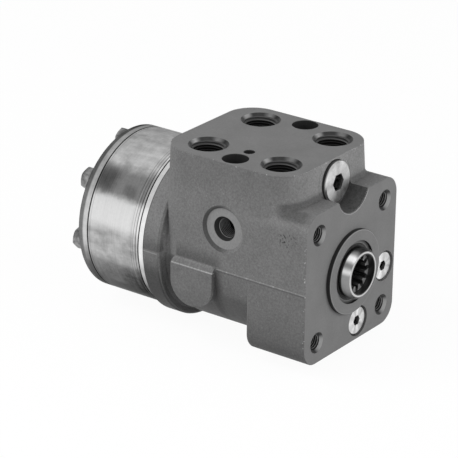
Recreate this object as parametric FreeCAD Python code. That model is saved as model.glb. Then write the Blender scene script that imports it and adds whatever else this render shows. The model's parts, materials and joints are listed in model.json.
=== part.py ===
import FreeCAD, Part
import math
import os

from FreeCAD import Vector

# Orbital steering unit, open to view on a bench with its ports on top.
# Millimetres. The origin is the centre of the column mounting face, on the steering axis.
# -Y leaves the mounting face, +Y runs back through the gear set, +Z points to the port face.

# Column flange and its four tapped holes
HOLE_SPACING = 70.0
COLUMN_THREAD = 10.0
COLUMN_HOLE_DEPTH = 20.0
COLUMN_CHAMFER = 13.4
FLANGE_WIDTH = 96.8
FLANGE_BOTTOM = 48.8
FLANGE_TOP = 49.1
FLANGE_CORNER = 12.5
FOOT_LENGTH = 43.0
FOOT_EDGE = 1.6
SPIGOT_DIAMETER = 53.6
SPIGOT_HEIGHT = 3.0
EDGE_BREAK = 0.4

# Port block on top of the housing
PORT_FACE_HEIGHT = 69.3
BLOCK_FRONT = 15.1
BLOCK_REAR_GAP = 5.9
BLOCK_TAPER_WIDTH = 2.7
BLOCK_TAPER_HEIGHT = 40.3
BLOCK_FRONT_CORNER = 18.5
BLOCK_REAR_CORNER = 19.0
SHOULDER_FILLET = 2.5
PORT_PATTERN = 54.0
PORT_PATTERN_CENTRE = 61.2
PORT_THREAD = 20.96
PORT_DEPTH = 17.0
PORT_CHAMFER = 25.2
VALVE_HOLE_SPACING = 72.8
VALVE_HOLE = 16.6
VALVE_HOLE_DEPTH = 19.3
SENSE_THREAD = 13.16
SENSE_DEPTH = 14.0
SENSE_CHAMFER = 15.8
SENSE_CHAMFER_DEPTH = 2.6
SENSE_SPOTFACE = 26.1
SENSE_RECESS = 30.2
SENSE_SPOTFACE_DEPTH = 1.9
SENSE_HEIGHT = 27.1
SENSE_RISER = 7.2
SENSE_RISER_OFFSET = 22.3
SENSE_LINK = 4.8

# Round body behind the flange
DISC_STEP = 4.6
BARREL_DROP = 2.7
NECK_STEP = 2.9
NECK_LENGTH = 9.0
NECK_BLEND = 3.5
BLEND_BEND = 0.3
REAR_DISC_THICKNESS = 11.8
REAR_DISC_CHAMFER = 1.2
HOUSING_LENGTH = 118.3

# Bench lugs on both sides
LUG_CENTRE = 82.5
LUG_RADIUS = 15.7
LUG_DROP = 12.5
LUG_TOP = 1.0
LUG_STAND = 3.1
LUG_BEVEL = 3.2
LUG_BEVEL_DROP = 4.2
LUG_SPREAD = 1.6
LUG_TOP_CORNER = 3.0

# Gear set
GEAR_SET_DIAMETER = 106.0
PLATE_THICKNESS = 3.9
PLATE_ROOM = 1.4
RING_WIDTH = 40.4
COVER_THICKNESS = 8.0
COVER_CHAMFER = 1.4
RIM_BREAK = 0.3
LOBES = 7
ORBIT_RADIUS = 3.3
LOBE_RADIUS = 8.5
VALLEY_RELIEF = 0.25
CAVITY_WALL = 1.85
GEAR_CLEARANCE = 0.06
SIDE_CLEARANCE = 0.04
CHAMBER_PORT = 6.4
BOLT_RIM_WALL = 5.0
BOLT_THREAD = 8.0
BOLT_ROOM = 0.6
BOLT_HEAD_ACROSS_FLATS = 13.0
BOLT_HEAD_HEIGHT = 5.6
BOLT_HEAD_BEVEL = 0.7
BOLT_ENGAGEMENT = 10.0
WASHER_DIAMETER = 14.6
WASHER_THICKNESS = 1.6

# Rotary valve
SLEEVE_DIAMETER = 46.0
SPOOL_DIAMETER = 34.0
SPOOL_BORE = 25.2
NECK_DIAMETER = 31.8
NECK_TIP_DIAMETER = 28.6
NECK_REACH = 8.7
NECK_MOUTH = 25.0
NECK_MOUTH_DEPTH = 4.2
VALVE_CLEARANCE = 0.03
SLEEVE_END_GAP = 0.6
SPOOL_SHORTFALL = 5.0
GROOVE_DEPTH = 4.0
GROOVE_WIDTH = 8.0
GROOVE_STATIONS = (34.0, 50.0, 72.0, 88.0)
PASSAGE = 9.0
METERING_HOLE = 3.2
METERING_INSET = 13.3
METERING_COUNT = 12
FEED_SLOT_DEPTH = 1.6

# Column spline in the spool neck, and the drive spline in the gear wheel
SPLINE_TEETH = 12
COLUMN_SPLINE_MAJOR = 21.0
COLUMN_SPLINE_MINOR = 17.5
COLUMN_SPLINE_LENGTH = 17.0
COLUMN_SPLINE_RELIEF = 1.5
COLUMN_SPLINE_WEB = 4.0
DRIVE_SPLINE_MAJOR = 26.0
DRIVE_SPLINE_MINOR = 22.0
DRIVE_SPLINE_PLAY = 0.3
SPACE_SHARE = 0.5
FLANK_ANGLE = 2.2

# Cross pin, cardan shaft and spacer
PIN_DIAMETER = 8.0
PIN_GAP = 2.0
PIN_SWING = 8.0
PIN_RING_WALL = 1.0
PIN_RING_WIDTH = 11.0
SLOT_PLAY = 0.05
CARDAN_DIAMETER = 17.0
CARDAN_FORK_DIAMETER = 21.0
CARDAN_FORK_LENGTH = 9.0
CARDAN_HEAD_LENGTH = 12.0
CARDAN_HEAD_INSET = 10.0
CARDAN_END = 1.3
CARDAN_BEVEL = 1.5
CARDAN_TAPER = 5.0
SPACER_GAP = 0.6
SPACER_PLAY = 0.12

# Centring springs
SPRING_INSET = 4.06
SPRING_WIDTH = 8.0
SPRING_LEAF = 0.7
SPRING_BOW = 0.8

# Thrust bearing and seals round the neck
SEAL_BORE = 40.0
SEAL_BORE_DEPTH = 9.0
SEAL_WALL = 4.9
SHAFT_SEAL_WIDTH = 5.5
DUST_SEAL_WIDTH = 3.2
DUST_SEAL_RECESS = 1.7
SEAL_PLAY = 0.05
NECK_ROOM = 0.4
RACE_THICKNESS = 1.0
RACE_ROOM = 0.2
NEEDLE_DIAMETER = 3.0
NEEDLE_LENGTH = 3.6
NEEDLE_COUNT = 16
NEEDLE_PLAY = 0.02
POCKET_PLAY = 0.1
CAGE_THICKNESS = 1.7
CAGE_RIM = 0.8

# O-rings
O_RING_WALL = 1.0
O_RING_WIDTH = 2.0
O_RING_DEPTH = 1.4
O_RING_SIDE_ROOM = 0.2

# Relief valve, above the steering axis and reached through the notch in the flange
RELIEF_OFFSET = 0.3
RELIEF_HEIGHT = 54.9
NOTCH_RADIUS = 16.6
RELIEF_FACE = 11.4
RELIEF_HEAD = 26.0
RELIEF_HEAD_THICKNESS = 5.4
RELIEF_HEAD_ROOM = 0.6
RELIEF_THREAD = 20.0
RELIEF_PLUG_LENGTH = 14.0
RELIEF_CHAMBER = 14.0
RELIEF_CHAMBER_LENGTH = 34.0
RELIEF_OUTLET = 7.0
RELIEF_KEY = 10.0
RELIEF_ADJUSTER_LENGTH = 7.0
RELIEF_ADJUSTER_KEY = 5.0
RELIEF_SEAT_LENGTH = 7.0
RELIEF_SEAT_MOUTH = 8.2
RELIEF_SEAT_THROAT = 5.6
RELIEF_SEAT_TAPER = 1.75
RELIEF_STEM_ROOM = 0.4
RELIEF_STEM_LENGTH = 7.2
RELIEF_COLLAR_LIP = 1.2
RELIEF_COLLAR_THICKNESS = 1.8
RELIEF_SPRING_DIAMETER = 9.2
RELIEF_SPRING_WIRE = 1.6
RELIEF_SPRING_TURNS = 5

# The two blanking plugs in the mounting face
PLUG_EDGE_DISTANCE = 11.6
PLUG_OFFSET = 9.5
PLUG_HEAD = 18.8
PLUG_HEAD_ROOM = 1.0
PLUG_HEAD_THICKNESS = 4.0
PLUG_RECESS = 1.0
PLUG_THREAD = 14.0
PLUG_LENGTH = 11.0
PLUG_KEY = 6.0
PLUG_DRILLING = 7.0
PLUG_DRILLING_LENGTH = 40.0
PLUG_BEVEL = 0.8
SOCKET_EXTRA = 2.0
SEAL_WASHER_THICKNESS = 1.5
SEAL_WASHER_ROOM = 0.4
THREAD_PLAY = 0.1

# Shock valves under the two plain holes of the port face
SHOCK_CHAMBER = 11.0
SHOCK_CHAMBER_LENGTH = 12.0
SHOCK_PLUG_LENGTH = 9.0
SHOCK_KEY = 6.0
SHOCK_BALL = 7.0
SHOCK_SEAT = 4.6
SHOCK_SPRING_DIAMETER = 6.0
SHOCK_SPRING_WIRE = 1.0
SHOCK_SPRING_TURNS = 3

# Check valve under one pressure port
CHECK_CHAMBER = 13.0
CHECK_BUSH_LENGTH = 5.0
CHECK_BUSH_BORE = 7.6
CHECK_BALL = 10.5
CHECK_TRAVEL = 2.0
BALL_PLAY = 0.05

# Places that follow from the sizes above
HALF_WIDTH = FLANGE_WIDTH / 2
GEAR_SET_RADIUS = GEAR_SET_DIAMETER / 2
BARREL_RADIUS = GEAR_SET_RADIUS - DISC_STEP
NECK_RADIUS = BARREL_RADIUS - NECK_STEP
LUG_FACE = BARREL_RADIUS + LUG_STAND
BLOCK_REAR = HOUSING_LENGTH - BLOCK_REAR_GAP
BOLT_HOLE = BOLT_THREAD + BOLT_ROOM
BOLT_CIRCLE_RADIUS = GEAR_SET_RADIUS - BOLT_RIM_WALL - BOLT_HOLE / 2
O_RING_RADIUS = BOLT_CIRCLE_RADIUS - BOLT_HOLE / 2 - O_RING_WALL - O_RING_WIDTH / 2
CAVITY_RADIUS = O_RING_RADIUS - O_RING_WIDTH / 2 - O_RING_SIDE_ROOM - CAVITY_WALL
LOBE_CIRCLE_RADIUS = CAVITY_RADIUS + LOBE_RADIUS - 2 * ORBIT_RADIUS - VALLEY_RELIEF
PLATE_FRONT = HOUSING_LENGTH
RING_FRONT = PLATE_FRONT + PLATE_THICKNESS
COVER_FRONT = RING_FRONT + RING_WIDTH
COVER_REAR = COVER_FRONT + COVER_THICKNESS
DISC_FRONT = HOUSING_LENGTH - REAR_DISC_THICKNESS
VALVE_BORE_RADIUS = SLEEVE_DIAMETER / 2 + VALVE_CLEARANCE
WALL_BEHIND_SEAL = SEAL_BORE_DEPTH + SEAL_WALL
SLEEVE_FRONT = WALL_BEHIND_SEAL + 2 * RACE_THICKNESS + NEEDLE_DIAMETER + 2 * NEEDLE_PLAY
SLEEVE_REAR = HOUSING_LENGTH - SLEEVE_END_GAP
SPOOL_REAR = SLEEVE_REAR - SPOOL_SHORTFALL
SPRING_STATION = SLEEVE_FRONT + SPRING_INSET + SPRING_WIDTH / 2
PIN_STATION = SPRING_STATION + SPRING_WIDTH / 2 + PIN_GAP + CARDAN_FORK_LENGTH
METERING_STATION = HOUSING_LENGTH - METERING_INSET
RELIEF_STEM = RELIEF_SPRING_DIAMETER - 2 * RELIEF_SPRING_WIRE - RELIEF_STEM_ROOM
RELIEF_COLLAR = RELIEF_SPRING_DIAMETER + 2 * RELIEF_COLLAR_LIP
HEAD_CENTRE = RING_FRONT + CARDAN_HEAD_INSET
CARDAN_TILT = math.degrees(math.asin(ORBIT_RADIUS / (HEAD_CENTRE - PIN_STATION)))
PORT_BOTTOM = PORT_FACE_HEIGHT - PORT_DEPTH
SPRING_SLOT = 2 * (2 * SPRING_LEAF + SPRING_BOW + 3 * BALL_PLAY)
FIRST_LOBE_ANGLE = 90.0
STEERING_AXIS = Vector(0, 1, 0)
OVERRUN = 1.0


def rod(radius, y0, y1, x=0.0, z=0.0):
    """A cylinder along the steering axis from y0 to y1."""
    return Part.makeCylinder(radius, y1 - y0, Vector(x, y0, z), STEERING_AXIS)


def pipe(outer, inner, y0, y1, x=0.0, z=0.0):
    """A plain ring along the steering axis."""
    return rod(outer, y0, y1, x, z).cut(rod(inner, y0 - OVERRUN, y1 + OVERRUN, x, z))


def drilling(radius, start, end):
    """A straight drilling from one point to another."""
    run = end - start
    return Part.makeCylinder(radius, run.Length, start, run)


def funnel(wide, narrow, start, direction):
    """A 45 degree chamfer cutter that goes in along a direction."""
    return Part.makeCone(wide, narrow, wide - narrow, start, direction)


def round_axis(shape, degrees):
    """A copy turned about the steering axis, from X towards Z."""
    turned_copy = shape.copy()
    turned_copy.rotate(Vector(0, 0, 0), STEERING_AXIS, -degrees)
    return turned_copy


def spread(shape, count, first=0.0):
    """Copies at equal angles round the steering axis."""
    return [round_axis(shape, first + 360.0 * i / count) for i in range(count)]


def polar(radius, degrees, y=0.0):
    """A point at a radius and an angle round the steering axis."""
    angle = math.radians(degrees)
    return Vector(radius * math.cos(angle), y, radius * math.sin(angle))


def rounded_outline(corners, place):
    """A closed wire through corners (u, v, radius), each rounded by a tangent arc."""
    ends = []
    for i, (u, v, radius) in enumerate(corners):
        here = Vector(u, v, 0)
        before = (Vector(*corners[i - 1][:2], 0) - here).normalize()
        after = (Vector(*corners[(i + 1) % len(corners)][:2], 0) - here).normalize()
        half = before.getAngle(after) / 2
        setback = radius / math.tan(half)
        centre = here + (before + after).normalize() * (radius / math.sin(half))
        middle = centre + (here - centre).normalize() * radius
        ends.append((here + before * setback, middle, here + after * setback))
    edges = []
    for i, (start, middle, end) in enumerate(ends):
        edges.append(Part.Arc(place(start), place(middle), place(end)).toShape())
        following = ends[(i + 1) % len(ends)][0]
        if (following - end).Length > 1e-6:
            edges.append(Part.LineSegment(place(end), place(following)).toShape())
    return Part.Wire(edges)


def turned(profile, x=0.0, z=0.0):
    """A solid of revolution about an axis along Y, from a closed (radius, y) profile."""
    points = [Vector(x + radius, y, z) for radius, y in profile]
    face = Part.Face(Part.makePolygon(points + points[:1]))
    return face.revolve(Vector(x, 0, z), STEERING_AXIS, 360)


def hexagon_rod(across_flats, y0, y1, x=0.0, z=0.0):
    """A hexagonal bar along the steering axis."""
    radius = across_flats / math.sqrt(3)
    points = [Vector(x, y0, z) + polar(radius, 60.0 * i) for i in range(7)]
    return Part.Face(Part.makePolygon(points)).extrude(Vector(0, y1 - y0, 0))


def spline_bar(minor, major, y0, y1, play=0.0):
    """The bar that fills a straight-flanked spline hole, thinner by the play on each flank."""
    points = []
    pitch = 360.0 / SPLINE_TEETH
    for i in range(SPLINE_TEETH):
        for radius, lean, side in ((minor, FLANK_ANGLE, -1), (major, -FLANK_ANGLE, -1),
                                   (major, -FLANK_ANGLE, 1), (minor, FLANK_ANGLE, 1)):
            half = pitch * SPACE_SHARE / 2 + lean - math.degrees(play / radius)
            points.append(polar(radius, i * pitch + side * half, y0))
    return Part.Face(Part.makePolygon(points + points[:1])).extrude(Vector(0, y1 - y0, 0))


def coil(radius, wire, length, turns, start, direction):
    """A compression spring with its first end at a point."""
    helix = Part.makeHelix((length - wire) / turns, length - wire, radius)
    section = Part.Wire(Part.makeCircle(wire / 2, Vector(radius, 0, 0), Vector(0, 1, 0)))
    spring = Part.Wire(helix).makePipeShell([section], True, True)
    spring.translate(Vector(0, 0, wire / 2))
    spring.Placement = FreeCAD.Placement(start, FreeCAD.Rotation(Vector(0, 0, 1), direction)).multiply(
        spring.Placement)
    return spring


def group(solids):
    return Part.makeCompound(solids)


# Housing

def flange_prism(length):
    """The flange's rounded outline, carried back from the mounting face."""
    corners = [(-HALF_WIDTH, -FLANGE_BOTTOM, FLANGE_CORNER), (HALF_WIDTH, -FLANGE_BOTTOM, FLANGE_CORNER),
               (HALF_WIDTH, FLANGE_TOP, FLANGE_CORNER), (-HALF_WIDTH, FLANGE_TOP, FLANGE_CORNER)]
    outline = rounded_outline(corners, lambda p: Vector(p.x, 0, p.y))
    return Part.Face(outline).extrude(Vector(0, length, 0))


def flange_block():
    """The column flange with the foot behind it, one rounded block."""
    block = flange_prism(FOOT_LENGTH)
    block = block.makeFillet(FOOT_EDGE, edges_at(block, FOOT_LENGTH))
    return block.makeChamfer(EDGE_BREAK, edges_at(block, 0.0))


def edges_at(shape, y):
    """The edges of a shape that lie in a plane across the steering axis."""
    return [edge for edge in shape.Edges if all(abs(v.Y - y) < 1e-6 for v in edge.Vertexes)]


def block_draft(z):
    """How far the port block's front and sides stand out at a height, against its top."""
    return BLOCK_TAPER_WIDTH * min(1.0, (PORT_FACE_HEIGHT - z) / BLOCK_TAPER_HEIGHT)


def block_half_width(z):
    """Half the width of the drafted port block at a height."""
    return HALF_WIDTH - BLOCK_TAPER_WIDTH + block_draft(z)


def block_outline(z, draft):
    """The port block seen from above, with its front and sides moved out by the draft."""
    front, rear = BLOCK_FRONT - draft, BLOCK_REAR + min(draft, 0)
    side, corner = HALF_WIDTH - BLOCK_TAPER_WIDTH + draft, BLOCK_FRONT_CORNER + draft
    corners = [(-side, front, corner), (side, front, corner),
               (side, rear, BLOCK_REAR_CORNER), (-side, rear, BLOCK_REAR_CORNER)]
    return rounded_outline(corners, lambda p: Vector(p.x, p.y, z))


def port_block():
    """The drafted block that carries the ports, with its top edge broken."""
    heights = (0.0, PORT_FACE_HEIGHT - BLOCK_TAPER_HEIGHT, PORT_FACE_HEIGHT - EDGE_BREAK)
    outlines = [block_outline(z, block_draft(z)) for z in heights]
    outlines.append(block_outline(PORT_FACE_HEIGHT, -EDGE_BREAK))
    return Part.makeLoft(outlines, True, True)


def shoulder_blend():
    """The concave cast blend where the front of the port block rises from the flange top."""
    corner_end = BLOCK_FRONT + BLOCK_FRONT_CORNER
    rough = flange_prism(FOOT_LENGTH + BLOCK_FRONT_CORNER).fuse(port_block()).removeSplitter()
    foot = [edge for edge in rough.Edges
            if all(abs(v.Z - FLANGE_TOP) < 1e-6 and EDGE_BREAK < v.Y < corner_end for v in edge.Vertexes)]
    blended = rough.makeFillet(SHOULDER_FILLET, foot)
    around = Part.makeBox(2 * HALF_WIDTH, FOOT_LENGTH - FOOT_EDGE - EDGE_BREAK, FLANGE_CORNER + SHOULDER_FILLET,
                          Vector(-HALF_WIDTH, EDGE_BREAK, FLANGE_TOP - FLANGE_CORNER))
    return blended.common(around)


def barrel_profile():
    """Radius against length for the round body: barrel, neck groove and rear disc."""
    neck_front = DISC_FRONT - NECK_LENGTH
    step = BARREL_RADIUS - NECK_RADIUS
    bend = BLEND_BEND * NECK_BLEND
    return [(0, BLOCK_FRONT), (BARREL_RADIUS, BLOCK_FRONT), (BARREL_RADIUS, neck_front - step),
            (BARREL_RADIUS - BLEND_BEND * step, neck_front - BLEND_BEND * step), (NECK_RADIUS, neck_front),
            (NECK_RADIUS, DISC_FRONT - NECK_BLEND), (NECK_RADIUS + bend, DISC_FRONT - bend),
            (NECK_RADIUS + NECK_BLEND, DISC_FRONT), (GEAR_SET_RADIUS - REAR_DISC_CHAMFER, DISC_FRONT),
            (GEAR_SET_RADIUS, DISC_FRONT + REAR_DISC_CHAMFER), (GEAR_SET_RADIUS, HOUSING_LENGTH),
            (0, HOUSING_LENGTH)]


def round_body():
    """Upper half about the steering axis, lower half about an axis a little below it."""
    profile = barrel_profile()
    upper = Part.Face(Part.makePolygon([Vector(r, y, 0) for r, y in profile + profile[:1]]))
    upper = upper.revolve(Vector(0, 0, 0), STEERING_AXIS, -180)
    lower = Part.Face(Part.makePolygon([Vector(r, y, -BARREL_DROP) for r, y in profile + profile[:1]]))
    lower = lower.revolve(Vector(0, 0, -BARREL_DROP), STEERING_AXIS, 180)
    mirrored = [(-r, y) for r, y in reversed(profile[1:-1])]
    loop = profile[1:-1] + mirrored + profile[1:2]
    band = Part.Face(Part.makePolygon([Vector(r, y, -BARREL_DROP) for r, y in loop]))
    band = band.extrude(Vector(0, 0, BARREL_DROP))
    return upper.fuse([lower, band])


def lug_outline(x, grow):
    """A D standing on its round end, seen from the side."""
    side = LUG_RADIUS + grow
    front, rear = LUG_CENTRE - side, LUG_CENTRE + side
    bottom = -LUG_DROP - side
    round_end = side - OVERRUN / 2
    corners = [(front, LUG_TOP + grow, LUG_TOP_CORNER), (rear, LUG_TOP + grow, LUG_TOP_CORNER),
               (rear, bottom, round_end), (front, bottom, round_end)]
    return rounded_outline(corners, lambda p: Vector(x, p.x, p.y))


def lug():
    """A cast pad on the -X side, with a bevelled top edge."""
    foot = lug_outline(-BARREL_RADIUS / 2, LUG_SPREAD)
    pad = Part.makeLoft([lug_outline(-LUG_FACE, 0.0), foot], True, True)
    above = LUG_TOP + LUG_SPREAD + OVERRUN
    low = LUG_TOP - LUG_BEVEL_DROP
    outside = -LUG_FACE - OVERRUN
    inside = -LUG_FACE + LUG_BEVEL
    corner = [Vector(outside, 0, low), Vector(outside, 0, above), Vector(inside, 0, above),
              Vector(inside, 0, LUG_TOP), Vector(-LUG_FACE, 0, low)]
    bevel = Part.Face(Part.makePolygon(corner + corner[:1])).extrude(Vector(0, HOUSING_LENGTH, 0))
    return pad.cut(bevel)


def spigot():
    """The round register boss on the mounting face."""
    radius = SPIGOT_DIAMETER / 2
    return turned([(0, -SPIGOT_HEIGHT), (radius - EDGE_BREAK, -SPIGOT_HEIGHT),
                   (radius, EDGE_BREAK - SPIGOT_HEIGHT), (radius, BLOCK_FRONT), (0, BLOCK_FRONT)])


def port_places():
    """The four ports as (x, y), rear pair first."""
    half = PORT_PATTERN / 2
    return [(x, PORT_PATTERN_CENTRE + y) for y in (half, -half) for x in (-half, half)]


def ports():
    """Threaded ports, their cast passages and the grooves they feed in the valve bore."""
    cutters = []
    stations = (GROOVE_STATIONS[3], GROOVE_STATIONS[2], GROOVE_STATIONS[0], GROOVE_STATIONS[1])
    floors = (PORT_BOTTOM, check_floor(), PORT_BOTTOM, PORT_BOTTOM)
    for (x, y), station, floor in zip(port_places(), stations, floors):
        top = Vector(x, y, PORT_FACE_HEIGHT)
        cutters.append(drilling(PORT_THREAD / 2, Vector(x, y, PORT_BOTTOM), top))
        cutters.append(funnel(PORT_CHAMFER / 2, PORT_THREAD / 2, top, Vector(0, 0, -1)))
        outlet = Vector(math.copysign(VALVE_BORE_RADIUS, x), station, PASSAGE)
        cutters.append(drilling(PASSAGE / 2, outlet, Vector(x, y, floor + OVERRUN)))
    reach = GROOVE_WIDTH / 2
    for station in GROOVE_STATIONS:
        cutters.append(rod(VALVE_BORE_RADIUS + GROOVE_DEPTH, station - reach, station + reach))
    cutters.append(drilling(CHECK_CHAMBER / 2, check_site() + Vector(0, 0, check_floor()),
                            check_site() + Vector(0, 0, PORT_BOTTOM)))
    return cutters


def shock_floor():
    """Height of the shoulder on which each shock valve plug stops."""
    return PORT_FACE_HEIGHT - VALVE_HOLE_DEPTH


def valve_holes():
    """The two plain holes of the port face, with the shock valve chambers below."""
    cutters = []
    floor = shock_floor()
    seat = floor - SHOCK_CHAMBER_LENGTH
    for x in (-VALVE_HOLE_SPACING / 2, VALVE_HOLE_SPACING / 2):
        top = Vector(x, PORT_PATTERN_CENTRE, PORT_FACE_HEIGHT)
        cutters.append(drilling(VALVE_HOLE / 2, Vector(x, PORT_PATTERN_CENTRE, floor), top))
        cutters.append(drilling(SHOCK_CHAMBER / 2, Vector(x, PORT_PATTERN_CENTRE, seat), top))
        cutters.append(drilling(SHOCK_SEAT / 2, Vector(x, PORT_PATTERN_CENTRE, seat - SHOCK_SEAT / 2), top))
    return cutters


def sense_port():
    """The load-sensing port on the -X side, joined to the small riser on the port face."""
    surface = -block_half_width(SENSE_HEIGHT)
    floor = surface + SENSE_SPOTFACE_DEPTH
    y, z = PORT_PATTERN_CENTRE, SENSE_HEIGHT
    inward = Vector(1, 0, 0)
    outside = Vector(surface - OVERRUN, y, z)
    mouth = Vector(floor, y, z)
    end = Vector(floor + SENSE_DEPTH, y, z)
    riser_foot = Vector(-SENSE_RISER_OFFSET, y, z)
    recess = Part.makeCone(SENSE_RECESS / 2, SENSE_SPOTFACE / 2, SENSE_SPOTFACE_DEPTH,
                           Vector(surface, y, z), inward)
    chamfer = Part.makeCone(SENSE_CHAMFER / 2, SENSE_THREAD / 2, SENSE_CHAMFER_DEPTH, mouth, inward)
    return [drilling(SENSE_SPOTFACE / 2, outside, mouth), recess, chamfer,
            drilling(SENSE_THREAD / 2, mouth, end),
            drilling(SENSE_LINK / 2, end, riser_foot + Vector(SENSE_RISER / 2, 0, 0)),
            drilling(SENSE_RISER / 2, riser_foot, Vector(-SENSE_RISER_OFFSET, y, PORT_FACE_HEIGHT))]


def relief_stations():
    """Lengths along the relief valve: seal floor, thread end and chamber end."""
    floor = RELIEF_FACE + RELIEF_HEAD_THICKNESS + SEAL_WASHER_THICKNESS
    thread_end = floor + RELIEF_PLUG_LENGTH + OVERRUN
    return floor, thread_end, thread_end + RELIEF_CHAMBER_LENGTH


def relief_bore():
    """The notch in the flange, the counterbore and the relief valve's stepped bore."""
    floor, thread_end, chamber_end = relief_stations()
    x, z = RELIEF_OFFSET, RELIEF_HEIGHT
    return [rod(NOTCH_RADIUS, -OVERRUN, BLOCK_FRONT - block_draft(FLANGE_TOP), x, z),
            rod((RELIEF_HEAD + RELIEF_HEAD_ROOM) / 2, 0, floor, x, z),
            rod(RELIEF_THREAD / 2, floor, thread_end, x, z),
            rod(RELIEF_CHAMBER / 2, thread_end, chamber_end, x, z),
            rod(RELIEF_OUTLET / 2, chamber_end, chamber_end + RELIEF_CHAMBER, x, z)]


def plug_floor():
    """Depth of the seal washer's seat below the mounting face."""
    return PLUG_RECESS + PLUG_HEAD_THICKNESS + SEAL_WASHER_THICKNESS


def plug_places(y=0.0):
    """Centres of the two plugs, one near the +X edge and one near the bottom."""
    inset = HALF_WIDTH - PLUG_EDGE_DISTANCE
    return [Vector(inset, y, -PLUG_OFFSET), Vector(PLUG_OFFSET, y, -inset)]


def plug_bores():
    """Counterbores, threads and long drillings of the two blanking plugs."""
    cutters = []
    floor = plug_floor()
    for place in plug_places():
        cutters.append(rod((PLUG_HEAD + PLUG_HEAD_ROOM) / 2, -OVERRUN, floor, place.x, place.z))
        cutters.append(rod(PLUG_THREAD / 2, floor, floor + PLUG_LENGTH + OVERRUN, place.x, place.z))
        cutters.append(rod(PLUG_DRILLING / 2, floor, floor + PLUG_DRILLING_LENGTH, place.x, place.z))
    return cutters


def column_holes():
    """The four tapped and chamfered holes of the flange."""
    cutters = []
    for x in (-HOLE_SPACING / 2, HOLE_SPACING / 2):
        for z in (-HOLE_SPACING / 2, HOLE_SPACING / 2):
            cutters.append(rod(COLUMN_THREAD / 2, 0, COLUMN_HOLE_DEPTH, x, z))
            cutters.append(funnel(COLUMN_CHAMFER / 2, COLUMN_THREAD / 2, Vector(x, 0, z), STEERING_AXIS))
    return cutters


def valve_bore():
    """The stepped bore for the seals, the thrust bearing and the rotary valve."""
    return [rod(VALVE_BORE_RADIUS, WALL_BEHIND_SEAL, HOUSING_LENGTH),
            rod(SEAL_BORE / 2, -SPIGOT_HEIGHT, SEAL_BORE_DEPTH),
            rod(NECK_DIAMETER / 2 + 2 * SEAL_PLAY, 0, HOUSING_LENGTH)]


def bolt_bores(radius, y0, y1):
    """Holes on the cover bolts' circle, one under the first lobe."""
    return spread(rod(radius, y0, y1, BOLT_CIRCLE_RADIUS), LOBES, FIRST_LOBE_ANGLE)


def o_ring_groove(face, inward):
    """A groove cut into a flat face at y=face, going inward (+1 or -1)."""
    outer = O_RING_RADIUS + O_RING_WIDTH / 2 + O_RING_SIDE_ROOM
    inner = O_RING_RADIUS - O_RING_WIDTH / 2 - O_RING_SIDE_ROOM
    y0, y1 = sorted((face, face + inward * O_RING_DEPTH))
    return pipe(outer, inner, y0, y1)


def housing():
    body = flange_block().fuse([port_block(), shoulder_blend(), round_body(), lug(),
                                lug().mirror(Vector(0, 0, 0), Vector(1, 0, 0)),
                                spigot()]).removeSplitter()
    thread_end = HOUSING_LENGTH - BOLT_ENGAGEMENT - OVERRUN
    cutters = (valve_bore() + relief_bore() + ports() + valve_holes() + sense_port() + plug_bores()
               + column_holes() + bolt_bores(BOLT_THREAD / 2, thread_end, HOUSING_LENGTH)
               + [o_ring_groove(HOUSING_LENGTH, -1)])
    return body.cut(cutters)


# Seals, thrust bearing and plugs on the housing

def seal_ring(inner, y0, y1):
    """A rubber seal in the neck bore, with a lip that stands clear of the neck."""
    outer = SEAL_BORE / 2
    lip = inner + SEAL_PLAY
    waist = (outer + lip) / 2
    middle = (y0 + y1) / 2
    return turned([(outer, y0), (outer, y1), (waist, y1), (lip, middle), (waist, y0)])


def shaft_seal():
    return seal_ring(NECK_DIAMETER / 2, SEAL_BORE_DEPTH - SHAFT_SEAL_WIDTH, SEAL_BORE_DEPTH)


def dust_seal():
    front = -SPIGOT_HEIGHT + DUST_SEAL_RECESS
    return seal_ring(NECK_DIAMETER / 2, front, front + DUST_SEAL_WIDTH)


def seal_spacer():
    """The flat steel ring between the dust seal and the shaft seal."""
    front = -SPIGOT_HEIGHT + DUST_SEAL_RECESS + DUST_SEAL_WIDTH
    return pipe(SEAL_BORE / 2, NECK_DIAMETER / 2 + NECK_ROOM, front, SEAL_BORE_DEPTH - SHAFT_SEAL_WIDTH)


def race(front):
    """A flat thrust washer round the neck."""
    return pipe(VALVE_BORE_RADIUS - RACE_ROOM, NECK_DIAMETER / 2 + RACE_ROOM, front, front + RACE_THICKNESS)


def needle_ring():
    """Inner and outer radius of the ring in which the needles lie."""
    middle = (NECK_DIAMETER / 2 + VALVE_BORE_RADIUS) / 2
    return middle - NEEDLE_LENGTH / 2, middle + NEEDLE_LENGTH / 2


def needle_station():
    return WALL_BEHIND_SEAL + RACE_THICKNESS + NEEDLE_PLAY + NEEDLE_DIAMETER / 2


def bearing_needles():
    inner, outer = needle_ring()
    y = needle_station()
    needle = drilling(NEEDLE_DIAMETER / 2, Vector(inner, y, 0), Vector(outer, y, 0))
    return group(spread(needle, NEEDLE_COUNT))


def bearing_cage():
    inner, outer = needle_ring()
    front = needle_station() - CAGE_THICKNESS / 2
    cage = pipe(outer + CAGE_RIM, inner - CAGE_RIM, front, front + CAGE_THICKNESS)
    length = outer - inner + 2 * POCKET_PLAY
    width = NEEDLE_DIAMETER + 2 * POCKET_PLAY
    pocket = Part.makeBox(length, CAGE_THICKNESS + 2 * OVERRUN, width,
                          Vector(inner - POCKET_PLAY, front - OVERRUN, -width / 2))
    return cage.cut(spread(pocket, NEEDLE_COUNT))


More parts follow.
